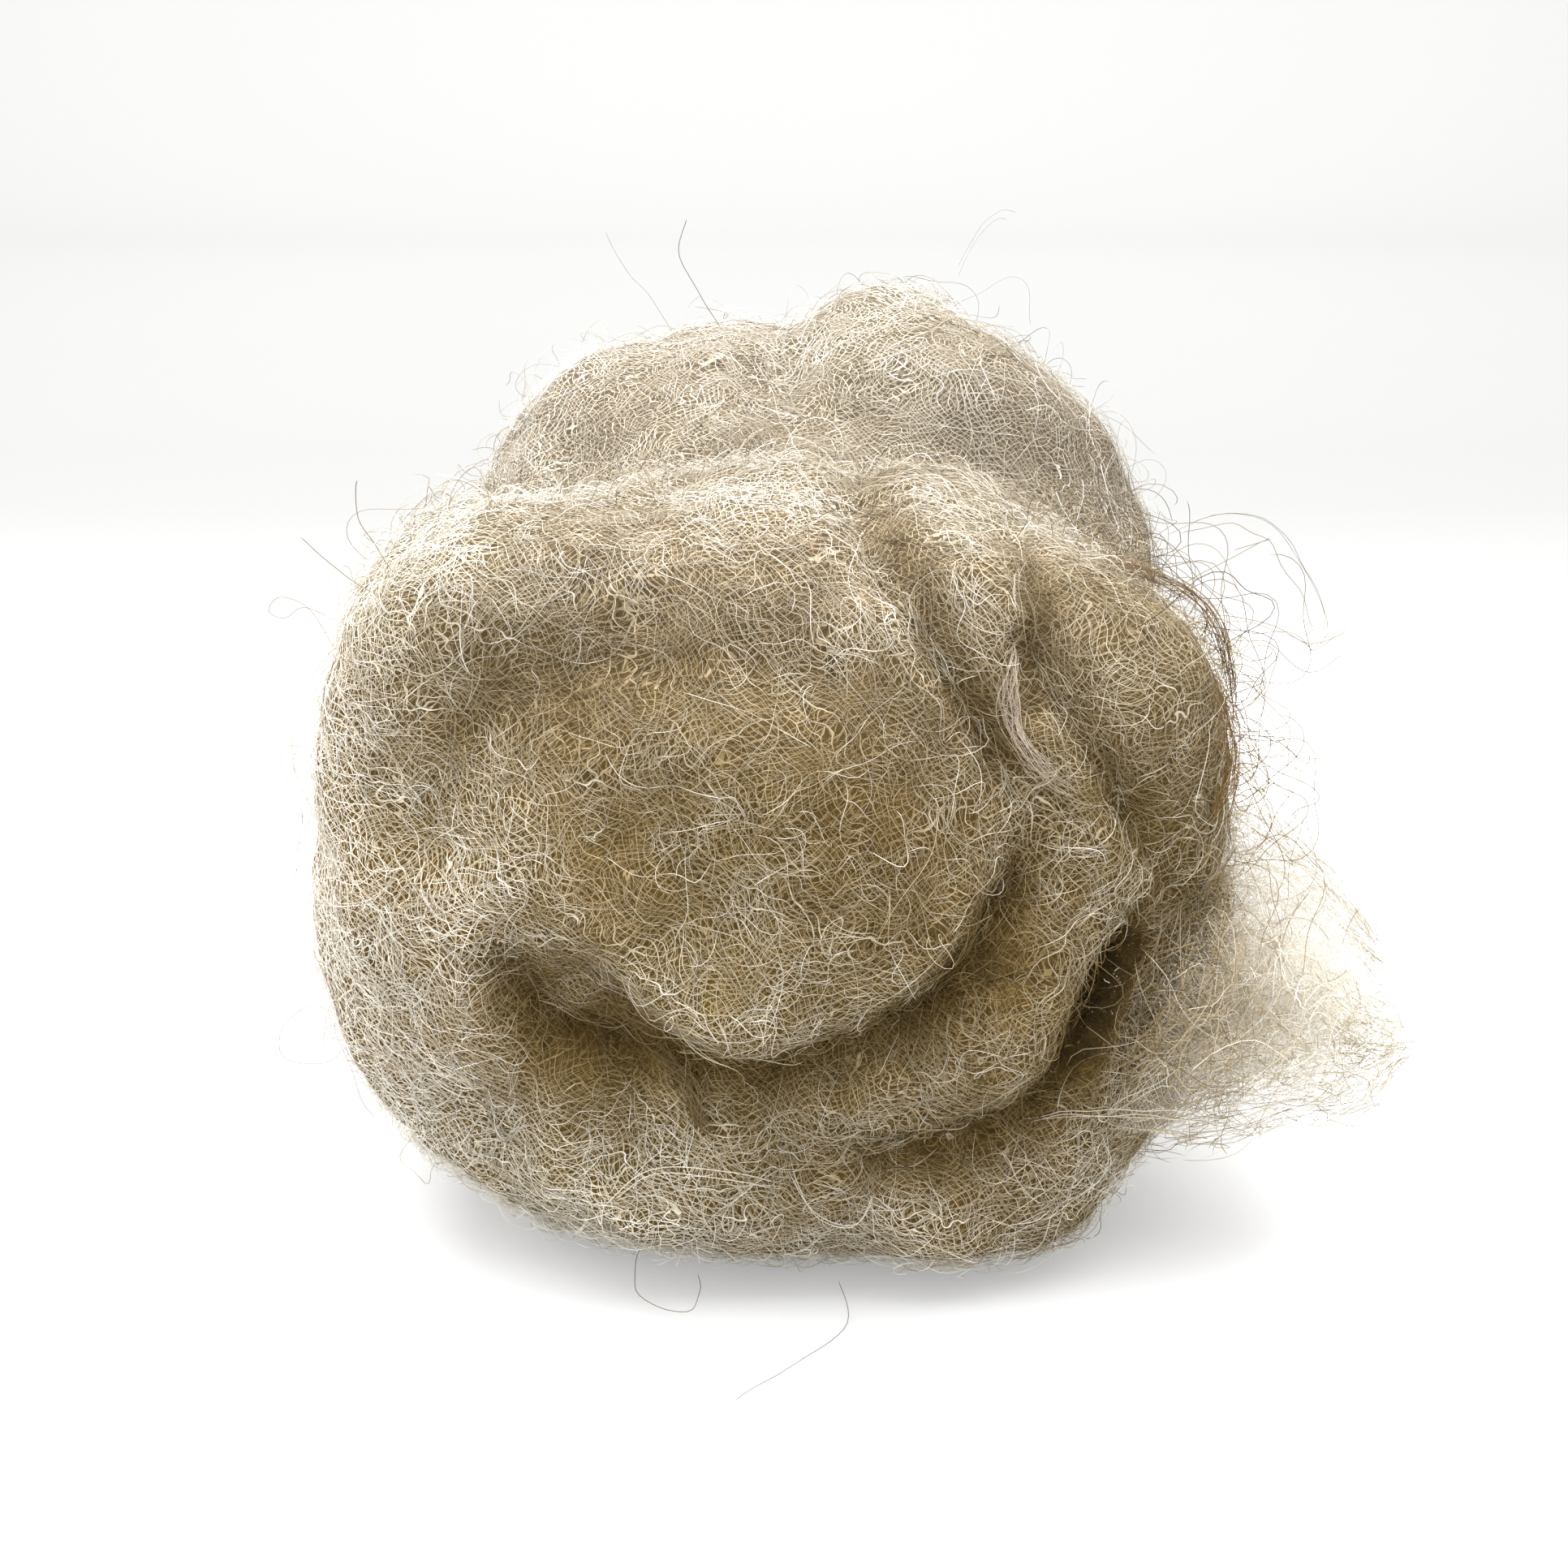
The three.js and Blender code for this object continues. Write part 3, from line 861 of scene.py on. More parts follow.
@dataclass(frozen=True)
class FleeceFinish:
    """The body of the batt: drawn fibres that cross each other over a dark ground, which is painted
    shade in the gaps between them.

    Each family of fibres is a stack of warped sheets cut by the surface. On a veil there is no
    ground, so that only the fibres themselves are solid.

    Attributes:
        name: Name of the material.
        families: Rows of the table of families.
        veil: Whether it is see-through between its fibres.
        ground: Tone under the fibres; the body's low one is painted shade in the gaps.
        paleness: Factor on the saturation.
        haze: Share of a veil that fibres too fine to draw one by one cover evenly.
        glow: Share of a veil's light that passes through its fibres.
        roughness: Roughness of the surface.
        shine: Strength of its reflection.
    """

    name: str = "fleece"
    families: tuple[tuple[float, ...], ...] = BODY_FAMILIES
    veil: bool = False
    # dark ground: painted shade between the drawn fibres
    ground: float = 0.02
    paleness: float = 0.91
    haze: float = 0.0
    glow: float = 0.5
    roughness: float = 0.95
    shine: float = 0.1

    def family(
        self,
        nodes: Nodes,
        number: int,
        warped: Socket,
        fade: Socket,
        normal: Socket,
        grain: Value,
        cover: Value,
    ) -> tuple[Socket, Socket]:
        """Lays one family over the fibres before it.

        It first darkens its surroundings, as its shadow, and then covers them with its tone.

        Args:
            nodes: The material's nodes.
            number: Row of the table of families.
            warped: Warped place.
            fade: Value that drifts along the fibres, so that they come and go.
            normal: Normal of the surface.
            grain: Tone so far.
            cover: Share covered so far.

        Returns:
            Tone and share covered with this family.
        """
        x, y, z, gap, width, tone, kept = self.families[number]
        across = tuple(Vector((x, y, z)).normalized())
        sheet = nodes.math("MULTIPLY", nodes.vector("DOT_PRODUCT", warped, across), 1 / (gap * MM))
        own = nodes.math("FRACT", nodes.math("MULTIPLY", nodes.math("FLOOR", sheet), TONE_STEP))
        middle = nodes.math("ABSOLUTE", nodes.math("SUBTRACT", nodes.math("FRACT", sheet), 0.5))
        ending = nodes.math("ADD", nodes.math("MULTIPLY", own, ENDING_STEP), fade)
        ending = nodes.math("FRACT", ending)
        if self.veil:
            ending = nodes.math("DIVIDE", ending, nodes.attribute("cover_share"))
        there = nodes.fall(ending, kept, kept - FADE_OUT)
        facing = nodes.math("ABSOLUTE", nodes.vector("DOT_PRODUCT", normal, across))
        there = nodes.math("MULTIPLY", there, nodes.fall(facing, *FACING_LIMITS))
        half = width / gap
        outer, inner = SHADOW_REACH
        shadow = nodes.math("MULTIPLY", nodes.fall(middle, outer * half, inner * half), there)
        line = nodes.math("MULTIPLY", nodes.fall(middle, half, LINE_CORE * half), there)
        lit = nodes.math("SUBTRACT", 1.0, nodes.math("MULTIPLY", shadow, SHADOW_DEPTH))
        shaded = nodes.math("MULTIPLY", grain, lit)
        bright = nodes.math("MULTIPLY", own, TONE_SPREAD)
        bright = nodes.math("ADD", bright, tone - TONE_SPREAD / 2)
        lacking = nodes.math("SUBTRACT", bright, shaded)
        grain = nodes.math("ADD", shaded, nodes.math("MULTIPLY", lacking, line))
        return grain, nodes.math("MAXIMUM", cover, line)

    def material(self) -> bpy.types.Material:
        """Families of fibres, toned by the piece's own attribute.

        Returns:
            The material.
        """
        nodes = Nodes(self.name)
        texture = nodes.add("ShaderNodeTexCoord")
        place, normal = texture.outputs["Object"], texture.outputs["Normal"]
        warped, noises = place, []
        for scale, reach in (WIDE_WARP, FINE_WARP):
            noise = nodes.vector("SUBTRACT", nodes.noise(place, scale, 0.0, "Color"), (0.5,) * 3)
            warped = nodes.vector("MULTIPLY_ADD", noise, (reach * MM,) * 3, warped)
            noises.append(noise)
        fade = nodes.vector("DOT_PRODUCT", noises[0], STEADY if self.veil and not self.haze else BROKEN)
        grain: Value = self.ground
        cover: Value = 0.0
        for number in range(len(self.families)):
            grain, cover = self.family(nodes, number, warped, fade, normal, grain, cover)
        # tone change of the piece: on the roll it carries painted light and shade, on the wisp a rise
        # along it
        gain = nodes.math("MULTIPLY", nodes.attribute("tone_change"), TONE_GAIN)
        grain = nodes.math("MULTIPLY", grain, nodes.math("ADD", 1.0, gain))
        toned = nodes.ramp(grain, FIBRE_TONES)
        if not self.veil:
            toned = nodes.drifting(toned, place)
        # painted shade in front and painted light at the top and back, as a change of saturation
        colour = nodes.shade_tinted(toned, place, self.paleness)
        nodes.coat(colour, self.roughness, self.shine)
        if not self.veil:
            return nodes.made
        fibre = nodes.glowing(colour, self.glow)
        if self.haze:
            even = nodes.math("MULTIPLY", nodes.attribute("cover_share"), self.haze)
            even = nodes.math("MINIMUM", even, MOST_HAZE)
            open_share = nodes.math("SUBTRACT", 1.0, cover)
            cover = nodes.math("ADD", cover, nodes.math("MULTIPLY", even, open_share))
        gap = nodes.add("ShaderNodeBsdfTransparent")
        nodes.finish(nodes.mixed(cover, gap.outputs["BSDF"], fibre))
        return nodes.made


@dataclass(frozen=True)
class FibreFinish:
    """Single wool fibres, whose tone is an attribute from 0, dark, to 1, cream.

    Attributes:
        name: Name of the material.
        see_through: Share of the light that passes through.
        roughness: Roughness of the surface.
        shine: Strength of its reflection.
        dye: Factors on red, green and blue.
    """

    name: str = "wool_fibre"
    see_through: float = 0.4
    roughness: float = 0.65
    shine: float = 0.25
    dye: tuple[float, float, float] = (1.0, 1.0, 1.0)

    def material(self) -> bpy.types.Material:
        """A tone ramp on a soft shader that lets some light through.

        Returns:
            The material.
        """
        nodes = Nodes(self.name)
        place = nodes.add("ShaderNodeTexCoord").outputs["Object"]
        stops = [
            (position, *(own * dyed for own, dyed in zip(colour, self.dye)))
            for position, *colour in FIBRE_TONES
        ]
        # painted shade in front and painted light at the top and back, as a change of saturation
        colour = nodes.shade_tinted(nodes.ramp(nodes.attribute("tone"), tuple(stops)), place)
        nodes.coat(colour, self.roughness, self.shine)
        nodes.finish(nodes.glowing(colour, self.see_through))
        return nodes.made


@dataclass
class Strands:
    """Many fibres in one mesh: centrelines, thickness and tone, as whole arrays.

    Attributes:
        lines: Centrelines in metres, of shape (fibres, points, 3).
        normals: Unit directions across each line, of the same shape.
        radius: Radius in metres of each fibre.
        tone: Tone at each point, from 0 to 1.
        sides: Number of corners of a fibre's section.
    """

    lines: np.ndarray
    normals: np.ndarray
    radius: np.ndarray
    tone: np.ndarray
    sides: int = 3

    def mesh(self, name: str) -> bpy.types.Object:
        """Carries an even section along every line and closes it to a point at both tips.

        A ring's corner k is line + radius * (normal cos a + side sin a) with a = 2 pi k / sides.

        Args:
            name: Name of the object.

        Returns:
            The object, with the tone as an attribute and a map.
        """
        count, points, _ = self.lines.shape
        ways = unit(np.gradient(self.lines, axis=1))
        side = unit(np.cross(ways, self.normals))
        across = np.cross(side, ways)
        angles = 2 * math.pi * np.arange(self.sides) / self.sides
        rings = self.lines[:, 1:-1, None, :] + self.radius[:, None, None, None] * (
            across[:, 1:-1, None, :] * np.cos(angles)[:, None]
            + side[:, 1:-1, None, :] * np.sin(angles)[:, None]
        )
        places = np.concatenate(
            [self.lines[:, :1], rings.reshape(count, -1, 3), self.lines[:, -1:]], axis=1
        )
        faces = ring_triangles(points - 2, self.sides)[:, ::-1]
        each = places.shape[1]
        triangles = (faces[None] + (np.arange(count) * each)[:, None, None]).reshape(-1, 3)
        piece = mesh_object(name, places.reshape(-1, 3), triangles)
        ring = np.concatenate([[0], 1 + np.repeat(np.arange(points - 2), self.sides), [points - 1]])
        set_attribute(piece, "tone", self.tone[:, ring])
        self.lay_out(piece, faces, ring, count)
        return piece

    def lay_out(
        self, piece: bpy.types.Object, faces: np.ndarray, ring: np.ndarray, count: int
    ) -> None:
        """Gives each fibre its own cell of a map, with its length along one side of the cell.

        Args:
            piece: The fibres' mesh.
            faces: Faces of one fibre, as numbers of its own vertices.
            ring: Point of the line that each vertex of one fibre belongs to.
            count: Number of fibres.
        """
        rim = 0.1
        across = math.ceil(math.sqrt(count))
        corner = np.zeros(len(ring), int)
        corner[1:-1] = np.tile(np.arange(self.sides), (len(ring) - 2) // self.sides)
        local = np.stack([ring / ring[-1], corner / self.sides], -1)[faces]
        wraps = (np.ptp(local[..., 1], axis=1) > 0.5)[:, None] & (local[..., 1] == 0)
        local[..., 1] = np.where(wraps, 1.0, local[..., 1])
        cell = np.stack([np.arange(count) % across, np.arange(count) // across], -1)
        laid = (cell[:, None, None] + rim + (1 - 2 * rim) * local[None]) / across
        layer = piece.data.uv_layers.new(name="OFBake")
        layer.data.foreach_set("uv", laid.astype(np.float32).ravel())


def set_attribute(piece: bpy.types.Object, name: str, values: np.ndarray) -> None:
    """Stores one float for each vertex."""
    made = piece.data.attributes.new(name, "FLOAT", "POINT")
    made.data.foreach_set("value", values.astype(np.float32).ravel())


def smoothed(lines: np.ndarray, passes: int) -> np.ndarray:
    """Lines whose inner points become (before + 2 own + after) / 4, some times over.

    Args:
        lines: Lines of shape (fibres, points, 3).
        passes: How many times.

    Returns:
        The smoothed lines.
    """
    for _ in range(passes):
        lines = np.concatenate(
            [lines[:, :1], (lines[:, :-2] + 2 * lines[:, 1:-1] + lines[:, 2:]) / 4, lines[:, -1:]], 1
        )
    return lines


def crimped_headings(
    draw: np.random.Generator,
    count: int,
    share: np.ndarray,
    length: np.ndarray,
    curl: float,
    bend: float,
) -> np.ndarray:
    """Headings along fibres that crimp in two wavelengths and bend one way.

    Args:
        draw: Random generator.
        count: Number of fibres.
        share: Places along a fibre, from 0 to 1.
        length: Length of each fibre in millimetres.
        curl: Strength of the crimps, about 1.
        bend: Spread of the one-way turn from tip to tip, in radians.

    Returns:
        Angles in radians, of shape (count, len(share)).
    """
    heading = draw.normal(0, bend, (count, 1)) * (share - 0.5)
    for shortest, longest, strength in CRIMPS:
        wavelength = draw.uniform(shortest, longest, (count, 1))
        phase = draw.uniform(0, 1, (count, 1))
        swing = draw.normal(0, strength * curl, (count, 1))
        turns = share * length[:, None] / wavelength + phase
        heading = heading + swing * np.sin(2 * math.pi * turns)
    return heading


def plane_curves(heading: np.ndarray, stride: np.ndarray) -> tuple[np.ndarray, np.ndarray]:
    """Both coordinates of plane curves with given headings, each about its own middle.

    Args:
        heading: Heading at each point, of shape (fibres, points).
        stride: Distance between points, one for each fibre.

    Returns:
        Distances along the first axis and along the second.
    """
    along = np.cumsum(np.cos(heading) * stride, axis=1)
    beside = np.cumsum(np.sin(heading) * stride, axis=1)
    return along - along.mean(1, keepdims=True), beside - beside.mean(1, keepdims=True)


def waved(
    draw: np.random.Generator,
    lines: np.ndarray,
    turns: np.ndarray,
    wavelengths: tuple[float, float],
    heights: tuple[float, float],
    scale: float,
) -> np.ndarray:
    """Adds two waves to each line, in random directions.

    Args:
        draw: Random generator.
        lines: Lines of shape (fibres, points, 3).
        turns: Distance along each line.
        wavelengths: Least and greatest wavelength, in the unit of the distance.
        heights: Least and greatest height of a wave.
        scale: Factor that carries the heights to the unit of the lines.

    Returns:
        The waved lines.
    """
    each = (len(lines), 1)
    for _ in range(2):
        way = unit(draw.normal(size=(len(lines), 1, 3)))
        wavelength = draw.uniform(*wavelengths, each)
        wave = np.sin(2 * math.pi * (turns / wavelength + draw.uniform(0, 1, each)))
        lines = lines + way * (wave * draw.uniform(*heights, each))[..., None] * scale
    return lines


@dataclass
class PaintedLightAndTone:
    """Painted light and shade on the wool, with uneven tone: creases are darker with painted shade, lit
    areas are paler with painted light.
    """

    placement: Placement

    def change(self, places: np.ndarray) -> np.ndarray:
        """Change of tone at places in metres: uneven tone, painted light at the top and patches of
        painted light and shade, less the creases' painted shade.

        Args:
            places: Places in metres, of any shape.

        Returns:
            One change for each place.
        """
        inner = self.placement.to_roll(places)
        total = sum(
            size * wave_noise(inner, length, seed, NOISE_WAVES) for size, length, seed in TONE_NOISES
        )
        # painted light: paler higher up
        begins, over, amount = LIT_TOP_PALER
        total = total + amount * smooth_step((inner[..., 2] - begins) / over)
        # patches of painted light and shade
        for x, y, z, radius, amount in LIGHT_SHADE_AND_TONE_PATCHES:
            gap = np.linalg.norm(inner - np.array([x, y, z]), axis=-1)
            total = total + amount * np.exp(-((gap / radius) ** 2))
        # painted shade in the creases
        return total - self.placement.form.crease_shade(inner)


@dataclass
class Fleece:
    """The surface that the fibres lie on, with the seeds that they grow from."""

    piece: bpy.types.Object
    places: np.ndarray
    triangles: np.ndarray

    def seeds(
        self, count: int, draw: np.random.Generator, wanted: Wanted
    ) -> tuple[np.ndarray, np.ndarray]:
        """Random places on the surface and their normals.

        Args:
            count: Number of seeds.
            draw: Random generator.
            wanted: Function that weighs face centres and normals.

        Returns:
            Places and outward unit normals.
        """
        corners = self.places[self.triangles]
        crossed = np.cross(corners[:, 1] - corners[:, 0], corners[:, 2] - corners[:, 0])
        normals = unit(crossed)
        weight = np.linalg.norm(crossed, axis=1) * wanted(corners.mean(1), normals)
        chosen = draw.choice(len(weight), count, p=weight / weight.sum())
        mix = draw.dirichlet((1, 1, 1), count)
        return (corners[chosen] * mix[..., None]).sum(1), normals[chosen]

    def drape(self, places: np.ndarray) -> tuple[np.ndarray, np.ndarray]:
        """Nearest places on the surface, and the surface's normals there.

        Args:
            places: Places in metres, of any shape.

        Returns:
            Places and unit normals of the same shape.
        """
        laid = []
        for lift in (0.0, 1.0 * MM):
            mesh = bpy.data.meshes.new("draped")
            mesh.vertices.add(places.size // 3)
            mesh.vertices.foreach_set("co", places.astype(np.float32).ravel())
            probe = bpy.data.objects.new("draped", mesh)
            bpy.context.scene.collection.objects.link(probe)
            wrap = probe.modifiers.new("wrap", "SHRINKWRAP")
            wrap.target = self.piece
            wrap.wrap_method = "NEAREST_SURFACEPOINT"
            wrap.wrap_mode = "ABOVE_SURFACE"
            wrap.offset = lift
            evaluated = probe.evaluated_get(bpy.context.evaluated_depsgraph_get())
            found = np.empty(places.size, np.float32)
            evaluated.to_mesh().vertices.foreach_get("co", found)
            laid.append(found.reshape(places.shape).astype(float))
            evaluated.to_mesh_clear()
            bpy.data.objects.remove(probe)
            bpy.data.meshes.remove(mesh)
        return laid[0], unit(laid[1] - laid[0])

    def from_front(self, places: np.ndarray) -> tuple[np.ndarray, np.ndarray]:
        """Where rays along +Y through places meet the surface, and the normals there.

        Args:
            places: Places in metres, of any shape.

        Returns:
            Places and unit normals of the same shape.
        """
        before_all = -0.2
        laid, normals = places.copy(), np.zeros_like(places)
        normals[..., 1] = -1.0
        for index in np.ndindex(places.shape[:-1]):
            x, _, z = places[index]
            eye = Vector((x, before_all, z))
            met, hit, normal, _ = self.piece.ray_cast(eye, Vector((0, 1, 0)))
            if met:
                laid[index], normals[index] = hit, normal
        return laid, normals


@dataclass
class FibreLayer:
    """One layer of fibres strewn over a fleece.

    Attributes:
        name: Name of the piece.
        wanted: Function that weighs where fibres start.
        count: Number of fibres.
        points: Points of each fibre.
        length: Least and greatest length, in millimetres.
        thickness: Least and greatest thickness, in millimetres.
        lift: Least and greatest height over the fleece, in millimetres.
        tone: Mean and spread of the tone.
        curl: Strength of the crimps.
        astray: Spread of the headings about the flow of the batt, in radians.
        seed: Seed of the random draws.
        layer: How the fibres lie.
        bend: Strength of the one-way turn.
        dark_share: Share of the fibres that are much darker.
        most_stretch: Greatest stretch of a fibre when it is laid on the fleece.
    """

    name: str
    wanted: Wanted
    count: int
    points: int
    length: tuple[float, float]
    thickness: tuple[float, float]
    lift: tuple[float, float]
    tone: tuple[float, float]
    curl: float
    astray: float
    seed: int
    layer: Layer = Layer.LYING
    bend: float = 2.0
    dark_share: float = 0.04
    most_stretch: float = 3.0

    def grow(self, fleece: Fleece, centre: np.ndarray, painted_light_and_tone: PaintedLightAndTone) -> bpy.types.Object:
        """Strews fibres and makes their mesh.

        A fibre starts as a plane curve in the tangent plane of its seed. Its heading is the way
        round the roll plus a slow swirl, a random turn and crimps. It is laid on the fleece,
        smoothed, and lifted by a wave along its length.

        Args:
            fleece: The surface.
            centre: Point on the roll's axis, in metres.
            painted_light_and_tone: Painted light and shade, and uneven tone.

        Returns:
            The mesh of the layer.
        """
        draw = np.random.default_rng(self.seed)
        spare = int(self.count * SPARE_FIBRES)
        start, normal = fleece.seeds(spare, draw, self.wanted)
        outwards = start - centre
        outwards[:, 1] = 0
        round_way = np.cross(np.array([0.0, 1.0, 0.0]), unit(outwards))
        first = unit(round_way - normal * (round_way * normal).sum(1, keepdims=True))
        second = np.cross(normal, first)
        share = np.linspace(0, 1, self.points)
        length = draw.uniform(*self.length, spare)
        swirl = sum(size * wave_noise(start, reach * MM, seed) for size, reach, seed in SWIRLS)
        turn = (swirl + draw.normal(0, self.astray, spare))[:, None]
        heading = turn + crimped_headings(draw, spare, share, length, self.curl, self.bend)
        stride = (length * MM / (self.points - 1))[:, None]
        along, beside = plane_curves(heading, stride)
        flat = start[:, None] + first[:, None] * along[..., None]
        laid, out = fleece.drape(flat + second[:, None] * beside[..., None])
        stretch = np.linalg.norm(np.diff(laid, axis=1), axis=-1) / stride
        kept = np.flatnonzero(stretch.max(1) < self.most_stretch)[: self.count]
        laid, out = smoothed(laid[kept], 3), unit(smoothed(out[kept], 3))
        lift = self.lifts(draw, spare, share)[kept] * MM
        lines = laid + out * lift[..., None]
        radius = draw.uniform(*self.thickness, spare)[kept] * MM / 2
        lines[..., 2] = np.maximum(lines[..., 2], radius[:, None] + FLOOR_GAP * MM)
        tone = draw.normal(*self.tone, spare)
        dark = draw.uniform(0, 1, spare) < self.dark_share
        tone = np.where(dark, DARK_TONE * tone, tone)[kept]
        # painted light and shade, and uneven tone, added to each fibre's tone
        shaded = np.clip(tone[:, None] + painted_light_and_tone.change(lines), 0, 1)
        return Strands(lines, out, radius, shaded).mesh(self.name)

    def lifts(self, draw: np.random.Generator, count: int, share: np.ndarray) -> np.ndarray:
        """Heights over the fleece along each fibre, in millimetres.

        A lying fibre waves between a third of its height and all of it. A stray one arches up and
        comes back, or keeps on rising to a free end.

        Args:
            draw: Random generator.
            count: Number of fibres.
            share: Places along a fibre, from 0 to 1.

        Returns:
            Heights of shape (count, len(share)).
        """
        top = draw.uniform(*self.lift, (count, 1))
        phase = draw.uniform(0, math.pi, (count, 1))
        if self.layer is Layer.FLYAWAY:
            free = draw.uniform(0, 1, (count, 1)) < FREE_SHARE
            arch = np.sin(math.pi * share) ** ARCH_POWER
            return np.where(free, share**FREE_POWER, arch) * top
        wave = np.sin(math.pi * share * LYING_WAVES + phase) ** 2
        return (LYING_LEAST + (1 - LYING_LEAST) * wave) * top


@dataclass(frozen=True)
class Loops:
    """Stray fibres that leave the fleece in arcs and often come back to it.

    Attributes:
        name: Name of the piece.
        wanted: Function that weighs where the loops start.
        count: Number of loops.
        points: Points of each loop.
        length: Least and greatest length, in millimetres.
        radius: Least and greatest radius of the arcs, in millimetres.
        thickness: Thickness, in millimetres.
        tone: Mean tone.
        seed: Seed of the random draws.
        tilts: Spread of the planes' axes and of the first headings.
        waver: Height of the slow waver of a heading, and its length in millimetres over 2 pi.
        sway: Spread of the drift across a loop's plane.
        buried: How far under the fleece a loop starts, in millimetres.
    """

    name: str
    wanted: Wanted
    count: int
    points: int
    length: tuple[float, float]
    radius: tuple[float, float]
    thickness: float
    tone: float
    seed: int
    tilts: tuple[float, float] = (0.5, 0.45)
    waver: tuple[float, float] = (0.5, 2.2)
    sway: float = 0.35
    buried: float = 1.5

    def grow(self, fleece: Fleece) -> bpy.types.Object:
        """Makes the loops: each heading turns evenly in a plane, with a slow sway across it.

        Args:
            fleece: The surface that they leave.

        Returns:
            The mesh of the loops.
        """
        draw = np.random.default_rng(self.seed)
        start, normal = fleece.seeds(self.count, draw, self.wanted)
        each, towards = (self.count, 1), (self.count, 3)
        share = np.linspace(0, 1, self.points)
        axis = unit(np.array([0.0, 1.0, 0.0]) + draw.normal(0, self.tilts[0], towards))
        out = unit(normal + draw.normal(0, self.tilts[1], towards))
        out = unit(out - axis * (out * axis).sum(1, keepdims=True))
        beside = np.cross(axis, out)
        length = draw.uniform(*self.length, each)
        way = np.where(draw.uniform(0, 1, each) < 0.5, -1, 1)
        turn = way * length / draw.uniform(*self.radius, each)
        phase = draw.uniform(0, 2 * math.pi, each)
        strength, reach = self.waver
        heading = turn * share + strength * np.sin(length * share / reach + phase)
        sway = draw.normal(0, self.sway, each) + 0 * share
        steps = (
            out[:, None] * np.cos(heading)[..., None]
            + beside[:, None] * np.sin(heading)[..., None]
            + axis[:, None] * sway[..., None]
        ) * (length / (self.points - 1))[..., None] * MM
        lines = start[:, None] - self.buried * MM * normal[:, None] + np.cumsum(steps, axis=1)
        radius = draw.uniform(0.85, 1.15, self.count) * self.thickness * MM / 2
        lines[..., 2] = np.maximum(lines[..., 2], LEAST_HEIGHT * MM)
        tone = np.clip(draw.normal(self.tone, 0.12, each), 0, 1) + 0 * share
        normals = np.broadcast_to(axis[:, None], lines.shape)
        return Strands(lines, normals, radius, tone).mesh(self.name)


def closed_skin(name: str, finish: bpy.types.Material, grid: np.ndarray) -> Fleece:
    """A skin over a grid of rings, closed by a pole at each end.

    Args:
        name: Name of the piece.
        finish: Its material.
        grid: Places in metres, of shape (rings, columns, 3).

    Returns:
        The piece as a surface for fibres.
    """
    places = np.concatenate([grid[:1].mean(1), grid.reshape(-1, 3), grid[-1:].mean(1)])
    triangles = ring_triangles(*grid.shape[:2])
    piece = mesh_object(name, places, triangles)
    piece.data.materials.append(finish)
    return Fleece(piece, places, triangles)


@dataclass(frozen=True)
class LooseLayer:
    """One layer of the wisp.

    Attributes:
        start: Where it starts along +X, in millimetres.
        end: Where it ends.
        size: Share of the wisp's section that it fills.
        depth: Where its middle line runs, from -1 at the front to 1 at the back.
        flat: Share of the wisp's depth that it has.
        seed: Seed of its noises.
    """

    start: float
    end: float
    size: float
    depth: float
    flat: float
    seed: int


@dataclass(frozen=True)
class Wisps:
    """Single fibres at all depths of the wisp, in millimetres.

    Attributes:
        count: Number of fibres.
        points: Points of each fibre.
        seed: Seed of the random draws.
        length: Least and greatest length.
        heading: Mean and spread of the headings in radians, 0 along the wisp.
        crimps: Strength of the crimps and of the one-way turn.
        reach: Where the fibres' middles begin along +X, and over which length they lie.
        crowding: Shape of the beta distribution of their middles.
        tip: Where fibres are held back, and how far they may go beyond.
        leaning: How far fibres on the upper half are moved round towards the top.
        girth: Distance from the middle line that turns a shift round it into an angle.
        inside: Least and greatest squared share of the section, and spread along a fibre.
        wavelengths: Least and greatest length of the waves.
        heights: Least and greatest height of the waves.
        thickness: Least and greatest thickness.
        tone: Mean and spread of the tone.
        paler: Where the fibres turn paler, over which length, and by how much.
    """

    count: int = 2250
    points: int = 12
    seed: int = 61
    length: tuple[float, float] = (9, 22)
    heading: tuple[float, float] = (0.2, 1.3)
    crimps: tuple[float, float] = (1.4, 3.0)
    reach: tuple[float, float] = (41, 37)
    crowding: tuple[float, float] = (1.1, 1.35)
    tip: tuple[float, float] = (74, 6.0)
    leaning: float = 0.7
    girth: float = 17.0
    inside: tuple[float, float, float] = (0.1, 1.15, 0.12)
    wavelengths: tuple[float, float] = (6, 14)
    heights: tuple[float, float] = (0.2, 0.9)
    thickness: tuple[float, float] = (0.07, 0.10)
    tone: tuple[float, float] = (0.56, 0.16)
    paler: tuple[float, float, float] = (48, 20, 0.24)


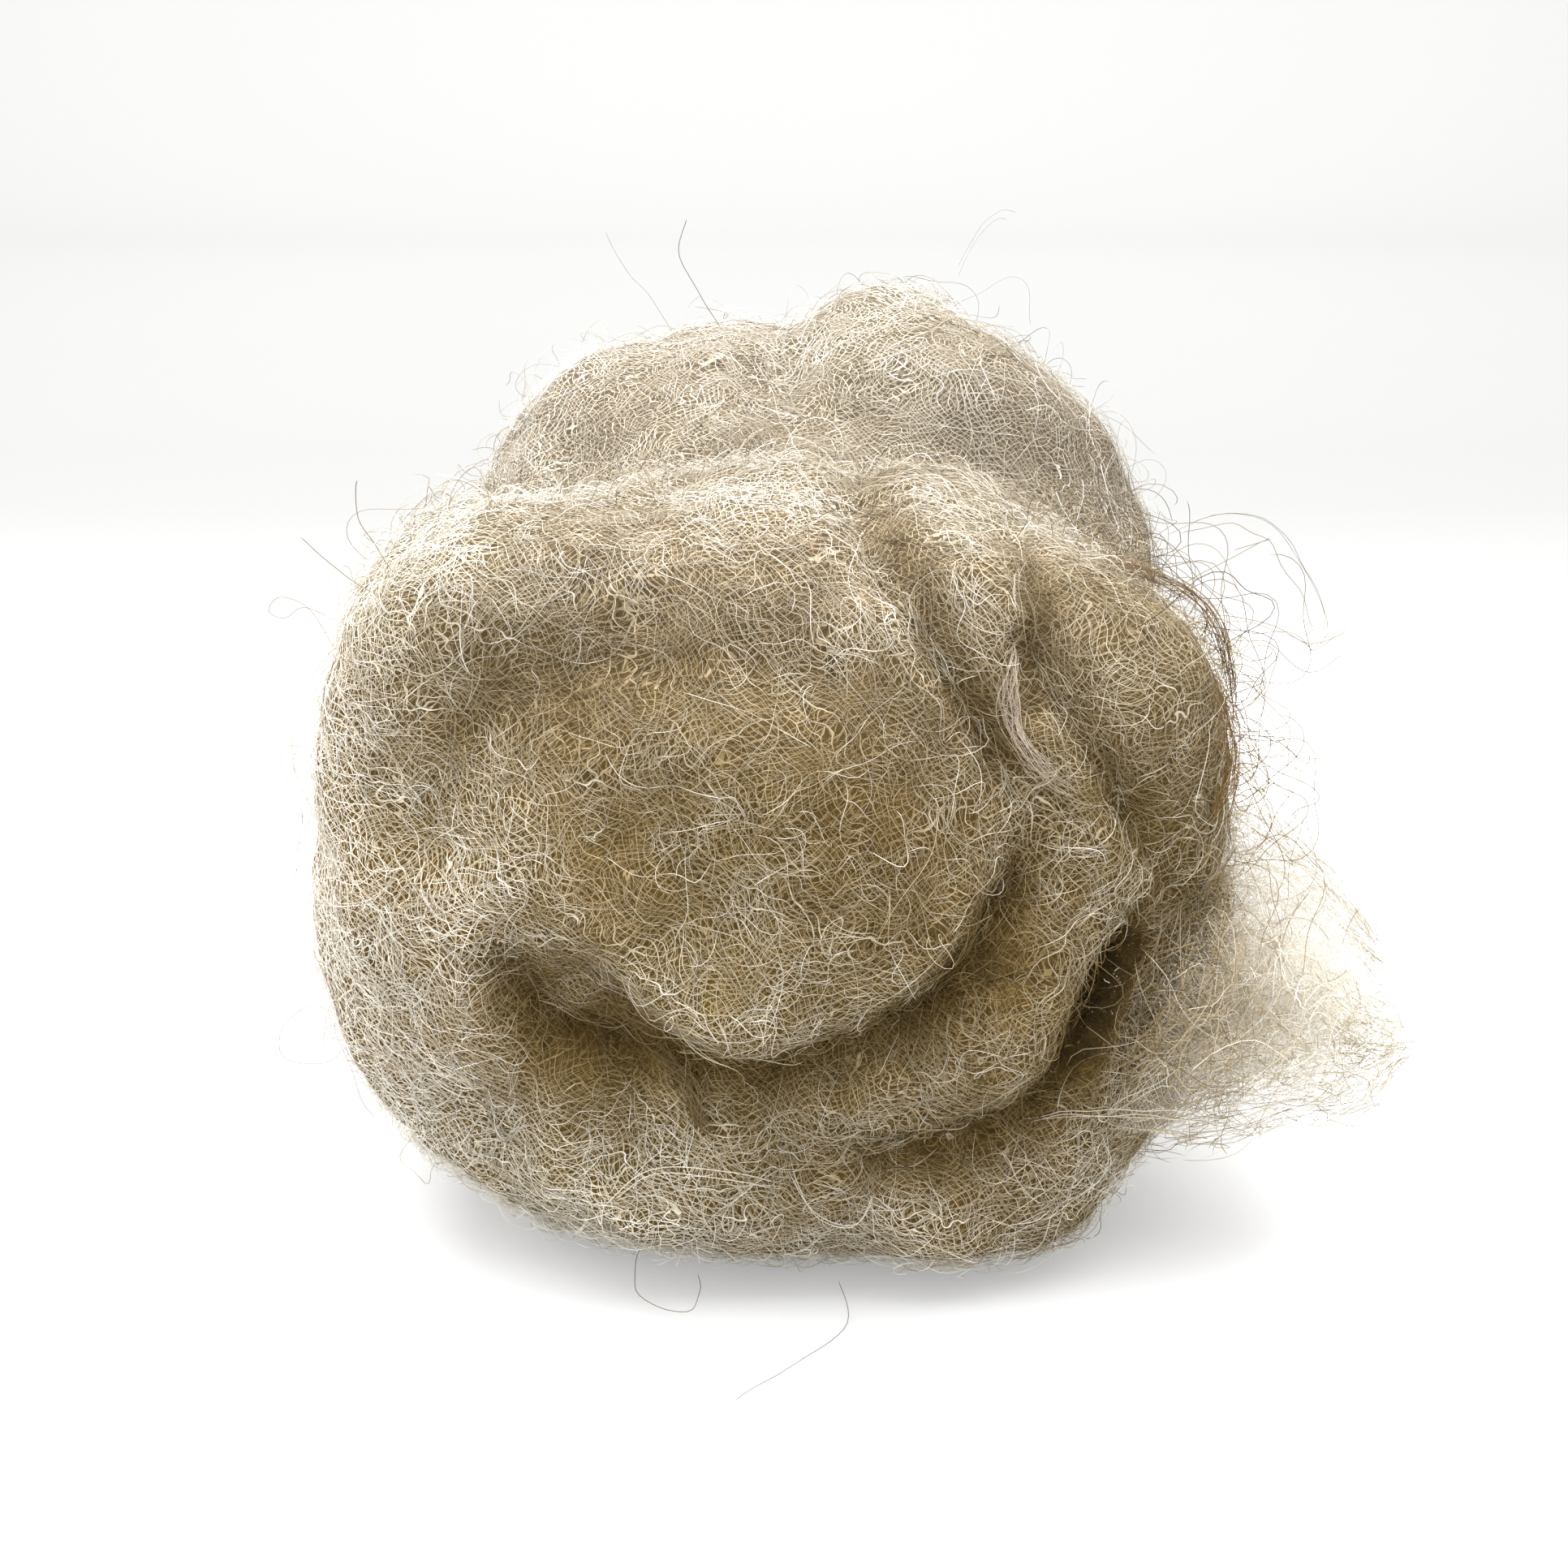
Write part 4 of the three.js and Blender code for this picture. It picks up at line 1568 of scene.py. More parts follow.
@dataclass
class LooseEnd:
    """The thin wisp that the outer turn ends in, at the lower right.

    The wisp is a flattened cone along +X, given by a table of sections in the roll's millimetres.
    It is made of a soft root, of thin layers behind each other that thin out to their rims, and
    of single fibres at all depths.
    """

    placement: Placement
    squareness: float = 2.3
    columns: int = 64
    rings: int = 44
    # how square a shell's ends are, and its least width
    end_squareness: int = 5
    end_width: float = 0.03
    # amount and wavelength of a shell's uneven outline, on a cylinder of radius 1 and this length
    outline_noise: tuple[float, float] = (0.1, 1.6)
    outline_length: float = 3.0
    # height and wavelength of the lumps, and of the waves that move a shell to and fro
    lumps: tuple[tuple[float, float], ...] = ((0.9, 13), (0.4, 5))
    waves: tuple[float, float] = (1.5, 17)
    lowest: float = 0.5
    # width of the thinning rim above and below, and where it ends beyond the end
    rims: tuple[float, float] = (0.6, 0.3)
    end_fade: tuple[float, float] = (3, 16)
    # where the cover changes, over which length, and by how much: low down, high up
    low_cover: tuple[float, float, float] = (44, 10, 0.8)
    high_cover: tuple[float, float, float] = (46, 14, 0.55)
    root_fade: tuple[float, float] = (40, 9)
    # where the tone rises along the wisp and over which length, its least and its rise
    tone_start: tuple[float, float] = (50, 22)
    tone_changes: tuple[float, float] = (0.13, 0.5)
    # x, front y, back y, middle z, half thickness, lean, tilt
    rows: np.ndarray = field(
        default_factory=lambda: np.array(
            [
                (28, -70, -20, 35, 17, 0.5, 0.05),
                (38, -73, -16, 36, 18.5, 0.45, 0.1),
                (48, -73, -15, 36.5, 18.5, 0.3, 0.15),
                (58, -70, -18, 36, 16, 0.15, 0.2),
                (66, -66, -24, 34, 12.5, 0.05, 0.25),
                (72, -62, -30, 31.5, 8.5, 0, 0.3),
                (77, -56, -36, 29.5, 3, 0, 0.3),
            ],
            float,
        )
    )

    def point(
        self,
        x: np.ndarray,
        angle: np.ndarray,
        scale: np.ndarray,
        depth: float = 0.0,
        flat: float = 1.0,
    ) -> np.ndarray:
        """A place in the wisp.

        Args:
            x: How far along the wisp, in millimetres.
            angle: Angle round it, 0 towards -Y and rising towards +Z.
            scale: 1 on the surface, 0 on the middle line.
            depth: Where the middle line runs, from -1 at the front to 1 at the back.
            flat: Share of the wisp's depth that a layer has.

        Returns:
            Places in metres in the frame.
        """
        front, back, middle, half, lean, tilt = np.moveaxis(spline_columns(self.rows, x), -1, 0)
        across, up = np.cos(angle), np.sin(angle)
        reach = round_reach(across, up, self.squareness)
        half = np.maximum(half, 1.0)
        y = (front + back) / 2 + (back - front) / 2 * (depth - flat * scale * reach * across)
        height = scale * math.sqrt(1 - depth**2) * half * reach * up
        z = middle + tilt * (y - (front + back) / 2) + height
        return self.placement.to_frame(np.stack([x + lean * height, y, z], -1))

    def shell(self, name: str, finish: bpy.types.Material, row: LooseLayer) -> Fleece:
        """A closed, uneven shell inside the wisp.

        Args:
            name: Name of the piece.
            finish: Its material.
            row: Its sizes.

        Returns:
            The piece as a surface for fibres.
        """
        angle = np.linspace(0, 2 * math.pi, self.columns + 1)[:-1]
        angles, shares = np.meshgrid(angle, np.linspace(0, 1, self.rings))
        ends = 1 - np.abs(2 * shares - 1) ** self.end_squareness
        rounded = np.maximum(ends**0.5, self.end_width)
        outline = np.stack([np.cos(angles), np.sin(angles), self.outline_length * shares], -1)
        uneven, length = self.outline_noise
        rounded = rounded * (1 + uneven * wave_noise(outline, length, row.seed + 3))
        x = row.start + (row.end - row.start) * shares
        grid = self.point(x, angles, row.size * rounded, row.depth, row.flat)
        noise = sum(
            size * wave_noise(grid, length * MM, row.seed + number)
            for number, (size, length) in enumerate(self.lumps)
        )
        outwards = unit(grid - grid.mean(1, keepdims=True))
        grid = grid + outwards * (noise * rounded)[..., None] * MM
        size, length = self.waves
        to_and_fro = size * wave_noise(grid * np.array([1, 0, 1]), length * MM, row.seed + 2)
        grid[..., 1] += to_and_fro * MM
        grid[..., 2] = np.maximum(grid[..., 2], self.lowest * MM)
        shell = closed_skin(name, finish, grid)
        along = rise(self.placement.to_roll(shell.places)[:, 0], *self.tone_start)
        least, more = self.tone_changes
        set_attribute(shell.piece, "tone_change", least + more * along)
        cover = self.cover_share(angles, x, self.placement.to_roll(grid)[..., 2], row.end)
        cover = np.concatenate([[0.0], cover.ravel(), [0.0]])
        set_attribute(shell.piece, "cover_share", np.maximum(cover, LEAST_COVER))
        return shell

    def cover_share(
        self, angles: np.ndarray, x: np.ndarray, height: np.ndarray, end: float
    ) -> np.ndarray:
        """How dense a shell's fibres are: less at its rims, its root, its end and high up.

        Args:
            angles: Angles round the wisp.
            x: Places along the wisp, in millimetres.
            height: Heights, in millimetres.
            end: Where the shell ends.

        Returns:
            Share of the fibres that are there, which may be more than 1.
        """
        edge = np.where(np.sin(angles) > 0, *self.rims)
        beyond, over = self.end_fade
        rim = smooth_step((1 - np.abs(np.sin(angles))) / edge) * fall(x, end + beyond, over)
        low, over_low, more = self.low_cover
        high, over_high, less = self.high_cover
        rim = rim * (1 + more * fall(height, low, over_low) - less * rise(height, high, over_high))
        return rim * rise(x, *self.root_fade)

    def wisps(self, name: str, row: Wisps) -> bpy.types.Object:
        """Crimped fibres at all depths of the wisp, fewer towards its thin edge.

        A fibre is a plane curve whose first axis is the way along the wisp and whose second axis
        is the way round it, at its own share of the wisp's thickness.

        Args:
            name: Name of the piece.
            row: Numbers and sizes of the fibres.

        Returns:
            The mesh of the fibres.
        """
        draw = np.random.default_rng(row.seed)
        each = (row.count, 1)
        share = np.linspace(0, 1, row.points)
        length = draw.uniform(*row.length, row.count)
        heading = draw.normal(*row.heading, each)
        heading = heading + crimped_headings(draw, row.count, share, length, *row.crimps)
        along, beside = plane_curves(heading, (length / (row.points - 1))[:, None])
        x = row.reach[0] + row.reach[1] * draw.beta(*row.crowding, each) + along
        last, more = row.tip
        beyond = np.maximum(x - last, 0)
        x = np.minimum(x, last) + more * (1 - np.exp(-beyond / more))
        around = draw.uniform(0, 2 * math.pi, each)
        lean = np.maximum(np.sin(around), 0) * np.sign(np.cos(around))
        angle = around - row.leaning * lean + beside / row.girth
        innermost, outermost, sway = row.inside
        scale = np.sqrt(draw.uniform(innermost, outermost, each))
        scale = scale + draw.normal(0, sway, each) * (share - 0.5)
        lines = self.point(x, angle, np.maximum(scale, 0.05))
        turns = share * length[:, None]
        lines = smoothed(waved(draw, lines, turns, row.wavelengths, row.heights, MM), 2)
        radius = draw.uniform(*row.thickness, row.count) * MM / 2
        lines[..., 2] = np.maximum(lines[..., 2], LEAST_HEIGHT * MM)
        start, over, paler = row.paler
        tone = np.clip(draw.normal(*row.tone, each) + paler * rise(x, start, over), 0, 1)
        sideways = draw.normal(size=(row.count, 1, 3))
        sideways = unit(np.cross(np.gradient(lines, axis=1), sideways))
        return Strands(lines, sideways, radius, tone).mesh(name)


@dataclass(frozen=True)
class Lock:
    """A few fibres that run together along one route.

    Attributes:
        name: Name of the piece.
        points: Route in the roll's millimetres.
        count: Number of fibres.
        spread: Distance of the fibres from the route at its start and at its end.
        thickness: Thickness of a fibre.
        tone: Mean tone.
        crimp: Height of the waves in each fibre.
        twist: Turns about the route over its length.
        seed: Seed of the random draws.
        hold: What the lock is laid on.
        lift: Height over the fleece in millimetres.
        ragged: Share of the route at each end over which the fibres begin and end.
        wavelengths: Least and greatest length of the fibres' waves.
        flatness: Thickness of the lock as a share of its width.
    """

    name: str
    points: tuple[tuple[float, float, float], ...]
    count: int
    spread: tuple[float, float]
    thickness: float
    tone: float
    crimp: float = 0.5
    twist: float = 0.5
    seed: int = 1
    hold: Hold = Hold.FREE
    lift: float = 0.0
    ragged: float = 0.18
    wavelengths: tuple[float, float] = (5, 16)
    flatness: float = 0.5

    def strands(self, placement: Placement, fleece: Fleece, points: int = 26) -> Strands:
        """The fibres of the lock: each keeps its own place across the route and crimps a little.

        Args:
            placement: Carries the route to the frame.
            fleece: What a held lock is laid on.
            points: Points of each fibre.

        Returns:
            The fibres.
        """
        draw = np.random.default_rng(self.seed)
        each = (self.count, 1)
        share = np.linspace(0, 1, points)
        rows = np.column_stack([np.linspace(0, 1, len(self.points)), np.array(self.points, float)])
        begin = draw.uniform(0, self.ragged, each) * (self.count > 1)
        end = 1 - draw.uniform(0, self.ragged, each) * (self.count > 1)
        along = begin + (end - begin) * share
        route = spline_columns(rows, along)
        length = np.linalg.norm(np.diff(route, axis=1), axis=-1).sum(1)[:, None]
        way = unit(np.gradient(route, axis=1))
        side = unit(np.cross(way, np.array([0.1, -1.0, 0.35])))
        above = np.cross(side, way)
        angle = draw.uniform(0, 2 * math.pi, each) + self.twist * 2 * math.pi * along
        out = np.sqrt(draw.uniform(0, 1, each))
        out = out * (self.spread[0] + (self.spread[1] - self.spread[0]) * along)
        upwards = self.flatness * out * np.sin(angle)
        lines = route + side * (out * np.cos(angle))[..., None] + above * upwards[..., None]
        lines = waved(draw, lines, share * length, self.wavelengths, (0.2, 1), self.crimp)
        lines = placement.to_frame(lines)
        if self.hold is not Hold.FREE:
            lay = fleece.from_front if self.hold is Hold.SEEN_FROM_FRONT else fleece.drape
            laid, above = lay(lines)
            laid, above = smoothed(laid, 6), unit(smoothed(above, 6))
            arch = 0.25 + 0.75 * np.sin(math.pi * share) ** 0.5
            height = self.lift * draw.uniform(0.6, 1.2, each) * arch
            lines = laid + above * (height * MM)[..., None]
        radius = draw.uniform(0.8, 1.2, self.count) * self.thickness * MM / 2
        lines[..., 2] = np.maximum(lines[..., 2], radius[:, None] + FLOOR_GAP * MM)
        tone = np.clip(draw.normal(self.tone, 0.06, each), 0, 1) + 0 * share
        return Strands(lines, above, radius, tone)


def hair(
    name: str,
    points: tuple[tuple[float, float, float], ...],
    thickness: float,
    tone: float,
    crimp: float,
    seed: int,
) -> Lock:
    """A single hair along a route.

    Args:
        name: Name of the piece.
        points: Route in the roll's millimetres.
        thickness: Thickness in millimetres.
        tone: Mean tone.
        crimp: Height of its waves.
        seed: Seed of the random draws.

    Returns:
        The hair as a lock of one fibre.
    """
    return Lock(name, points, 1, (0, 0), thickness, tone, crimp, 0.0, seed)


@dataclass
class Studio:
    """Pale floor, soft light and the camera of the photograph."""

    # camera, in millimetres about the roll's axis and in degrees
    distance: float = 286.0
    height: float = 152.0
    pitch: float = 21.5
    field_of_view: float = 40.0
    offset_x: float = 1.5
    sensor: float = 36.0
    # sweep, in metres: half its width, front edge, where it turns up and how wide, top
    half_width: float = 1.6
    front_edge: float = -1.4
    turn_start: float = 0.9
    turn_radius: float = 0.5
    wall_top: float = 2.2
    flat_rows: int = 12
    surround: float = 2.4
    # strength of the paper's glow: painted light that lifts its shadows and lights the batt from below
    paper_painted_glow: float = 0.85
    # height in metres that the lamps point at
    aim: float = 0.05

    def camera(self, placement: Placement) -> None:
        """Sets the camera in the roll's own millimetres, looking along +Y and down.

        Args:
            placement: Carries the roll's millimetres to the frame.
        """
        data = bpy.data.cameras.new("camera")
        data.sensor_width = self.sensor
        data.lens = self.sensor / 2 / math.tan(math.radians(self.field_of_view / 2))
        data.clip_start, data.clip_end = 0.01, 20.0
        camera = bpy.data.objects.new("camera", data)
        stand = np.array([self.offset_x, -self.distance, self.height])
        camera.location = Vector(placement.to_frame(stand))
        camera.rotation_euler = (math.radians(90 - self.pitch), 0, 0)
        bpy.context.scene.collection.objects.link(camera)
        bpy.context.scene.camera = camera

    def stage(self) -> None:
        """A pale sweep: a flat floor that turns up into a wall far behind. Its paper glows with painted
        light, and its tone is a painted fall-off of light along +Y.
        """
        turn = np.linspace(0.1, math.pi / 2, 10)
        start, radius = self.turn_start, self.turn_radius
        floor = np.linspace(self.front_edge, start, self.flat_rows)
        depth = np.concatenate([floor, start + radius * np.sin(turn), [start + radius]])
        rise_up = radius - radius * np.cos(turn)
        height = np.concatenate([np.zeros(self.flat_rows), rise_up, [self.wall_top]])
        across = np.linspace(-self.half_width, self.half_width, 3)
        grid = np.stack(np.broadcast_arrays(across, depth[:, None], height[:, None]), -1)
        grid = grid.reshape(-1, 3)
        corner = (np.arange(len(depth) - 1)[:, None] * 3 + np.arange(2)).ravel()
        near_half = np.stack([corner, corner + 1, corner + 4], -1)
        far_half = np.stack([corner, corner + 4, corner + 3], -1)
        faces = np.concatenate([near_half, far_half])
        sweep = mesh_object("pale_sweep", grid, faces)
        nodes = Nodes("painted_glow_paper")
        place = nodes.add("ShaderNodeSeparateXYZ")
        nodes.feed(place.inputs[0], nodes.add("ShaderNodeTexCoord").outputs["Object"])
        away = nodes.mapped(place.outputs["Y"], (PAPER_FROM, PAPER_TO, 0.0, 1.0))
        # painted fall-off of light along the sweep
        paper = nodes.ramp(away, PAPER_PAINTED_FALLOFF)
        nodes.coat(paper, 0.9, 0.1)
        # the paper glows in its own tone: painted light
        nodes.feed(nodes.shader.inputs["Emission Color"], paper)
        nodes.shader.inputs["Emission Strength"].default_value = self.paper_painted_glow
        sweep.data.materials.append(nodes.made)

    def lights(self) -> None:
        """A wide soft light overhead and a little behind, with an even pale surround."""
        world = bpy.data.worlds.new("surround")
        world.use_nodes = True
        background = world.node_tree.nodes["Background"]
        background.inputs["Color"].default_value = (1.0, 1.0, 1.0, 1)
        background.inputs["Strength"].default_value = self.surround
        bpy.context.scene.world = world
        for name, place, size, power in LAMPS:
            data = bpy.data.lights.new(name, "AREA")
            data.size = size
            data.energy = power
            lamp = bpy.data.objects.new(name, data)
            lamp.location = place
            way = Vector((0, 0, self.aim)) - Vector(place)
            lamp.rotation_euler = way.to_track_quat("-Z", "Y").to_euler()
            bpy.context.scene.collection.objects.link(lamp)
        bpy.context.scene.view_settings.view_transform = "Standard"
        bpy.context.scene.cycles.transparent_max_bounces = 8
        bpy.context.scene.cycles.diffuse_bounces = 2


@dataclass
class RolledBatt:
    """The wound fleece."""

    placement: Placement
    painted_light_and_tone: PaintedLightAndTone

    def skin(
        self,
        name: str,
        finish: bpy.types.Material,
        columns: int,
        rings: tuple[int, int, int],
        inset: float,
    ) -> Fleece:
        """One skin of the roll: a grid of rings from the front pole to the back pole.

        Args:
            name: Name of the piece.
            finish: Its material.
            columns: Vertices round a ring.
            rings: Rings over the front cap, along the side and over the back cap.
            inset: How far the skin lies under the outline that its fibres reach.

        Returns:
            The piece as a surface for fibres.
        """
        parts = [part + np.arange(1, count + 1) / count for part, count in enumerate(rings)]
        stage = np.concatenate(parts)[:-1]
        angle = np.linspace(0, 2 * math.pi, columns + 1)[:-1]
        angles, stages = np.meshgrid(angle, stage)
        grid = self.placement.form.surface(angles, stages, 1.0, inset)
        skin = closed_skin(name, finish, self.placement.to_frame(grid))
        # tone change of the fleece: painted light and shade, and uneven tone
        set_attribute(skin.piece, "tone_change", self.painted_light_and_tone.change(skin.places))
        set_attribute(skin.piece, "cover_share", np.full(len(skin.places), FULL_COVER))
        return skin


def about(places: np.ndarray, middle: tuple[float, float, float], radius: float) -> np.ndarray:
    """Gaussian weight of places about a middle."""
    gap = np.linalg.norm(places - np.array(middle), axis=1)
    return np.exp(-((gap / radius) ** 2))


def near_front(places: np.ndarray, normals: np.ndarray) -> np.ndarray:
    """Weight of seeds on the wound end and the top of the front half.

    Args:
        places: Face centres in metres.
        normals: Face normals.

    Returns:
        One weight for each face.
    """
    faces = np.clip(-normals[:, 1], 0, 1) + TOP_WEIGHT * np.clip(normals[:, 2], 0, 1)
    gathered = 1 + HOLLOW_WEIGHT * about(places, HOLLOW, HOLLOW_RADIUS)
    return (places[:, 1] < 0) * (ELSEWHERE_WEIGHT + faces) * gathered


def near_back(places: np.ndarray, normals: np.ndarray) -> np.ndarray:
    """Weight of seeds on the far half, few of them underneath."""
    under = normals[:, 2] < FACES_DOWN_BACK
    return (places[:, 1] >= 0) * np.where(under, UNDER_BACK_WEIGHT, 1.0)


def not_under(places: np.ndarray, normals: np.ndarray) -> np.ndarray:
    """Weight of seeds everywhere but underneath."""
    return np.where(normals[:, 2] < FACES_DOWN, UNDER_WEIGHT, 1.0)


def upper_right(places: np.ndarray, normals: np.ndarray) -> np.ndarray:
    """Weight of seeds at the upper right of the front, where stray loops stand out."""
    return about(places, STRAY, STRAY_RADIUS) * (0.1 + on_outline(places, normals))


def on_front(places: np.ndarray, normals: np.ndarray) -> np.ndarray:
    """Weight of seeds on what faces the camera."""
    return 0.1 + np.clip(-normals[:, 1], 0, 1)


def by_the_tip(places: np.ndarray, normals: np.ndarray) -> np.ndarray:
    """Weight of seeds on the outer and lower parts of the wisp.

    Args:
        places: Face centres in metres.
        normals: Face normals.

    Returns:
        One weight for each face.
    """
    start, over = TIP_START
    outer = np.clip((places[:, 0] - start) / over, 0.05, 1)
    return outer * np.where(normals[:, 2] < 0, 1.0, 0.4)


def on_outline(places: np.ndarray, normals: np.ndarray) -> np.ndarray:
    """Weight of seeds where the front and the top turn away from the camera.

    Args:
        places: Face centres in metres.
        normals: Face normals.

    Returns:
        One weight for each face.
    """
    middle, spread = OUTLINE_FACING
    side = np.clip(1 - np.abs(normals[:, 1] - middle) / spread, 0, 1)
    front = np.where(places[:, 1] < 0.02, 1.0, BACK_OUTLINE_WEIGHT)
    return side * front * np.where(normals[:, 2] < FACES_DOWN, UNDER_OUTLINE_WEIGHT, 1.0)


def dress(piece: bpy.types.Object, finish: bpy.types.Material | None = None) -> None:
    """Declares a piece to the frame and gives it its finish.

    Args:
        piece: The piece.
        finish: Material to add, if it has none yet.
    """
    if finish is not None:
        piece.data.materials.append(finish)
    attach(piece, BODY)
    LOG.info("%s: %d faces", piece.name, len(piece.data.polygons))


LAYERS = (
    FibreLayer(
        "matted_front", near_front, 2500, 11, (9, 15), (0.085, 0.115), (0.1, 1.0), (0.46, 0.12),
        0.9, 0.7, 21,
    ),
    FibreLayer(
        "matted_back", near_back, 900, 10, (10, 18), (0.12, 0.16), (0.1, 1.4), (0.54, 0.12), 0.7,
        0.6, 22,
    ),
    FibreLayer(
        "middle_front", near_front, 1900, 13, (9, 17), (0.08, 0.10), (0.5, 1.6), (0.52, 0.13), 1.1,
        0.8, 27,
    ),
    FibreLayer(
        "top_front", near_front, 2500, 14, (9, 18), (0.065, 0.09), (0.9, 2.4), (0.66, 0.17), 1.2,
        0.9, 23,
    ),
    FibreLayer(
        "top_back", near_back, 1100, 12, (12, 22), (0.09, 0.12), (0.9, 2.8), (0.62, 0.13), 1.0,
        0.8, 24,
    ),
    FibreLayer(
        "edge_fuzz", on_outline, 1000, 12, (8, 18), (0.07, 0.095), (1.5, 6.0), (0.46, 0.15), 1.2,
        1.3, 28, layer=Layer.FLYAWAY,
    ),
    FibreLayer(
        "flyaway", not_under, 340, 16, (12, 26), (0.07, 0.10), (1.5, 5.5), (0.46, 0.18), 1.2, 1.4,
        25, layer=Layer.FLYAWAY,
    ),
)
LOOPS = (
    Loops("right_loops", upper_right, 150, 26, (20, 44), (4.0, 10.0), 0.095, 0.30, 26),
    Loops("outline_loops", on_outline, 130, 20, (12, 26), (3.0, 8.0), 0.085, 0.42, 29),
)
TIP_LOOPS = Loops("tip_loops", by_the_tip, 70, 26, (14, 34), (5.0, 13.0), 0.08, 0.45, 33)
ROOT_FIBRES = FibreLayer(
    "root_fibres", on_front, 330, 12, (8, 16), (0.08, 0.10), (0.2, 2.0), (0.5, 0.16), 1.1, 0.9, 34,
)
LOOSE_ROOT = LooseLayer(35, 55, 0.62, -0.1, 0.5, 41)
LOOSE_VEILS = (
    LooseLayer(30, 71, 0.98, -0.6, 0.16, 43),
    LooseLayer(32, 76, 1.02, -0.2, 0.16, 46),
    LooseLayer(34, 78, 1.04, 0.25, 0.2, 49),
)
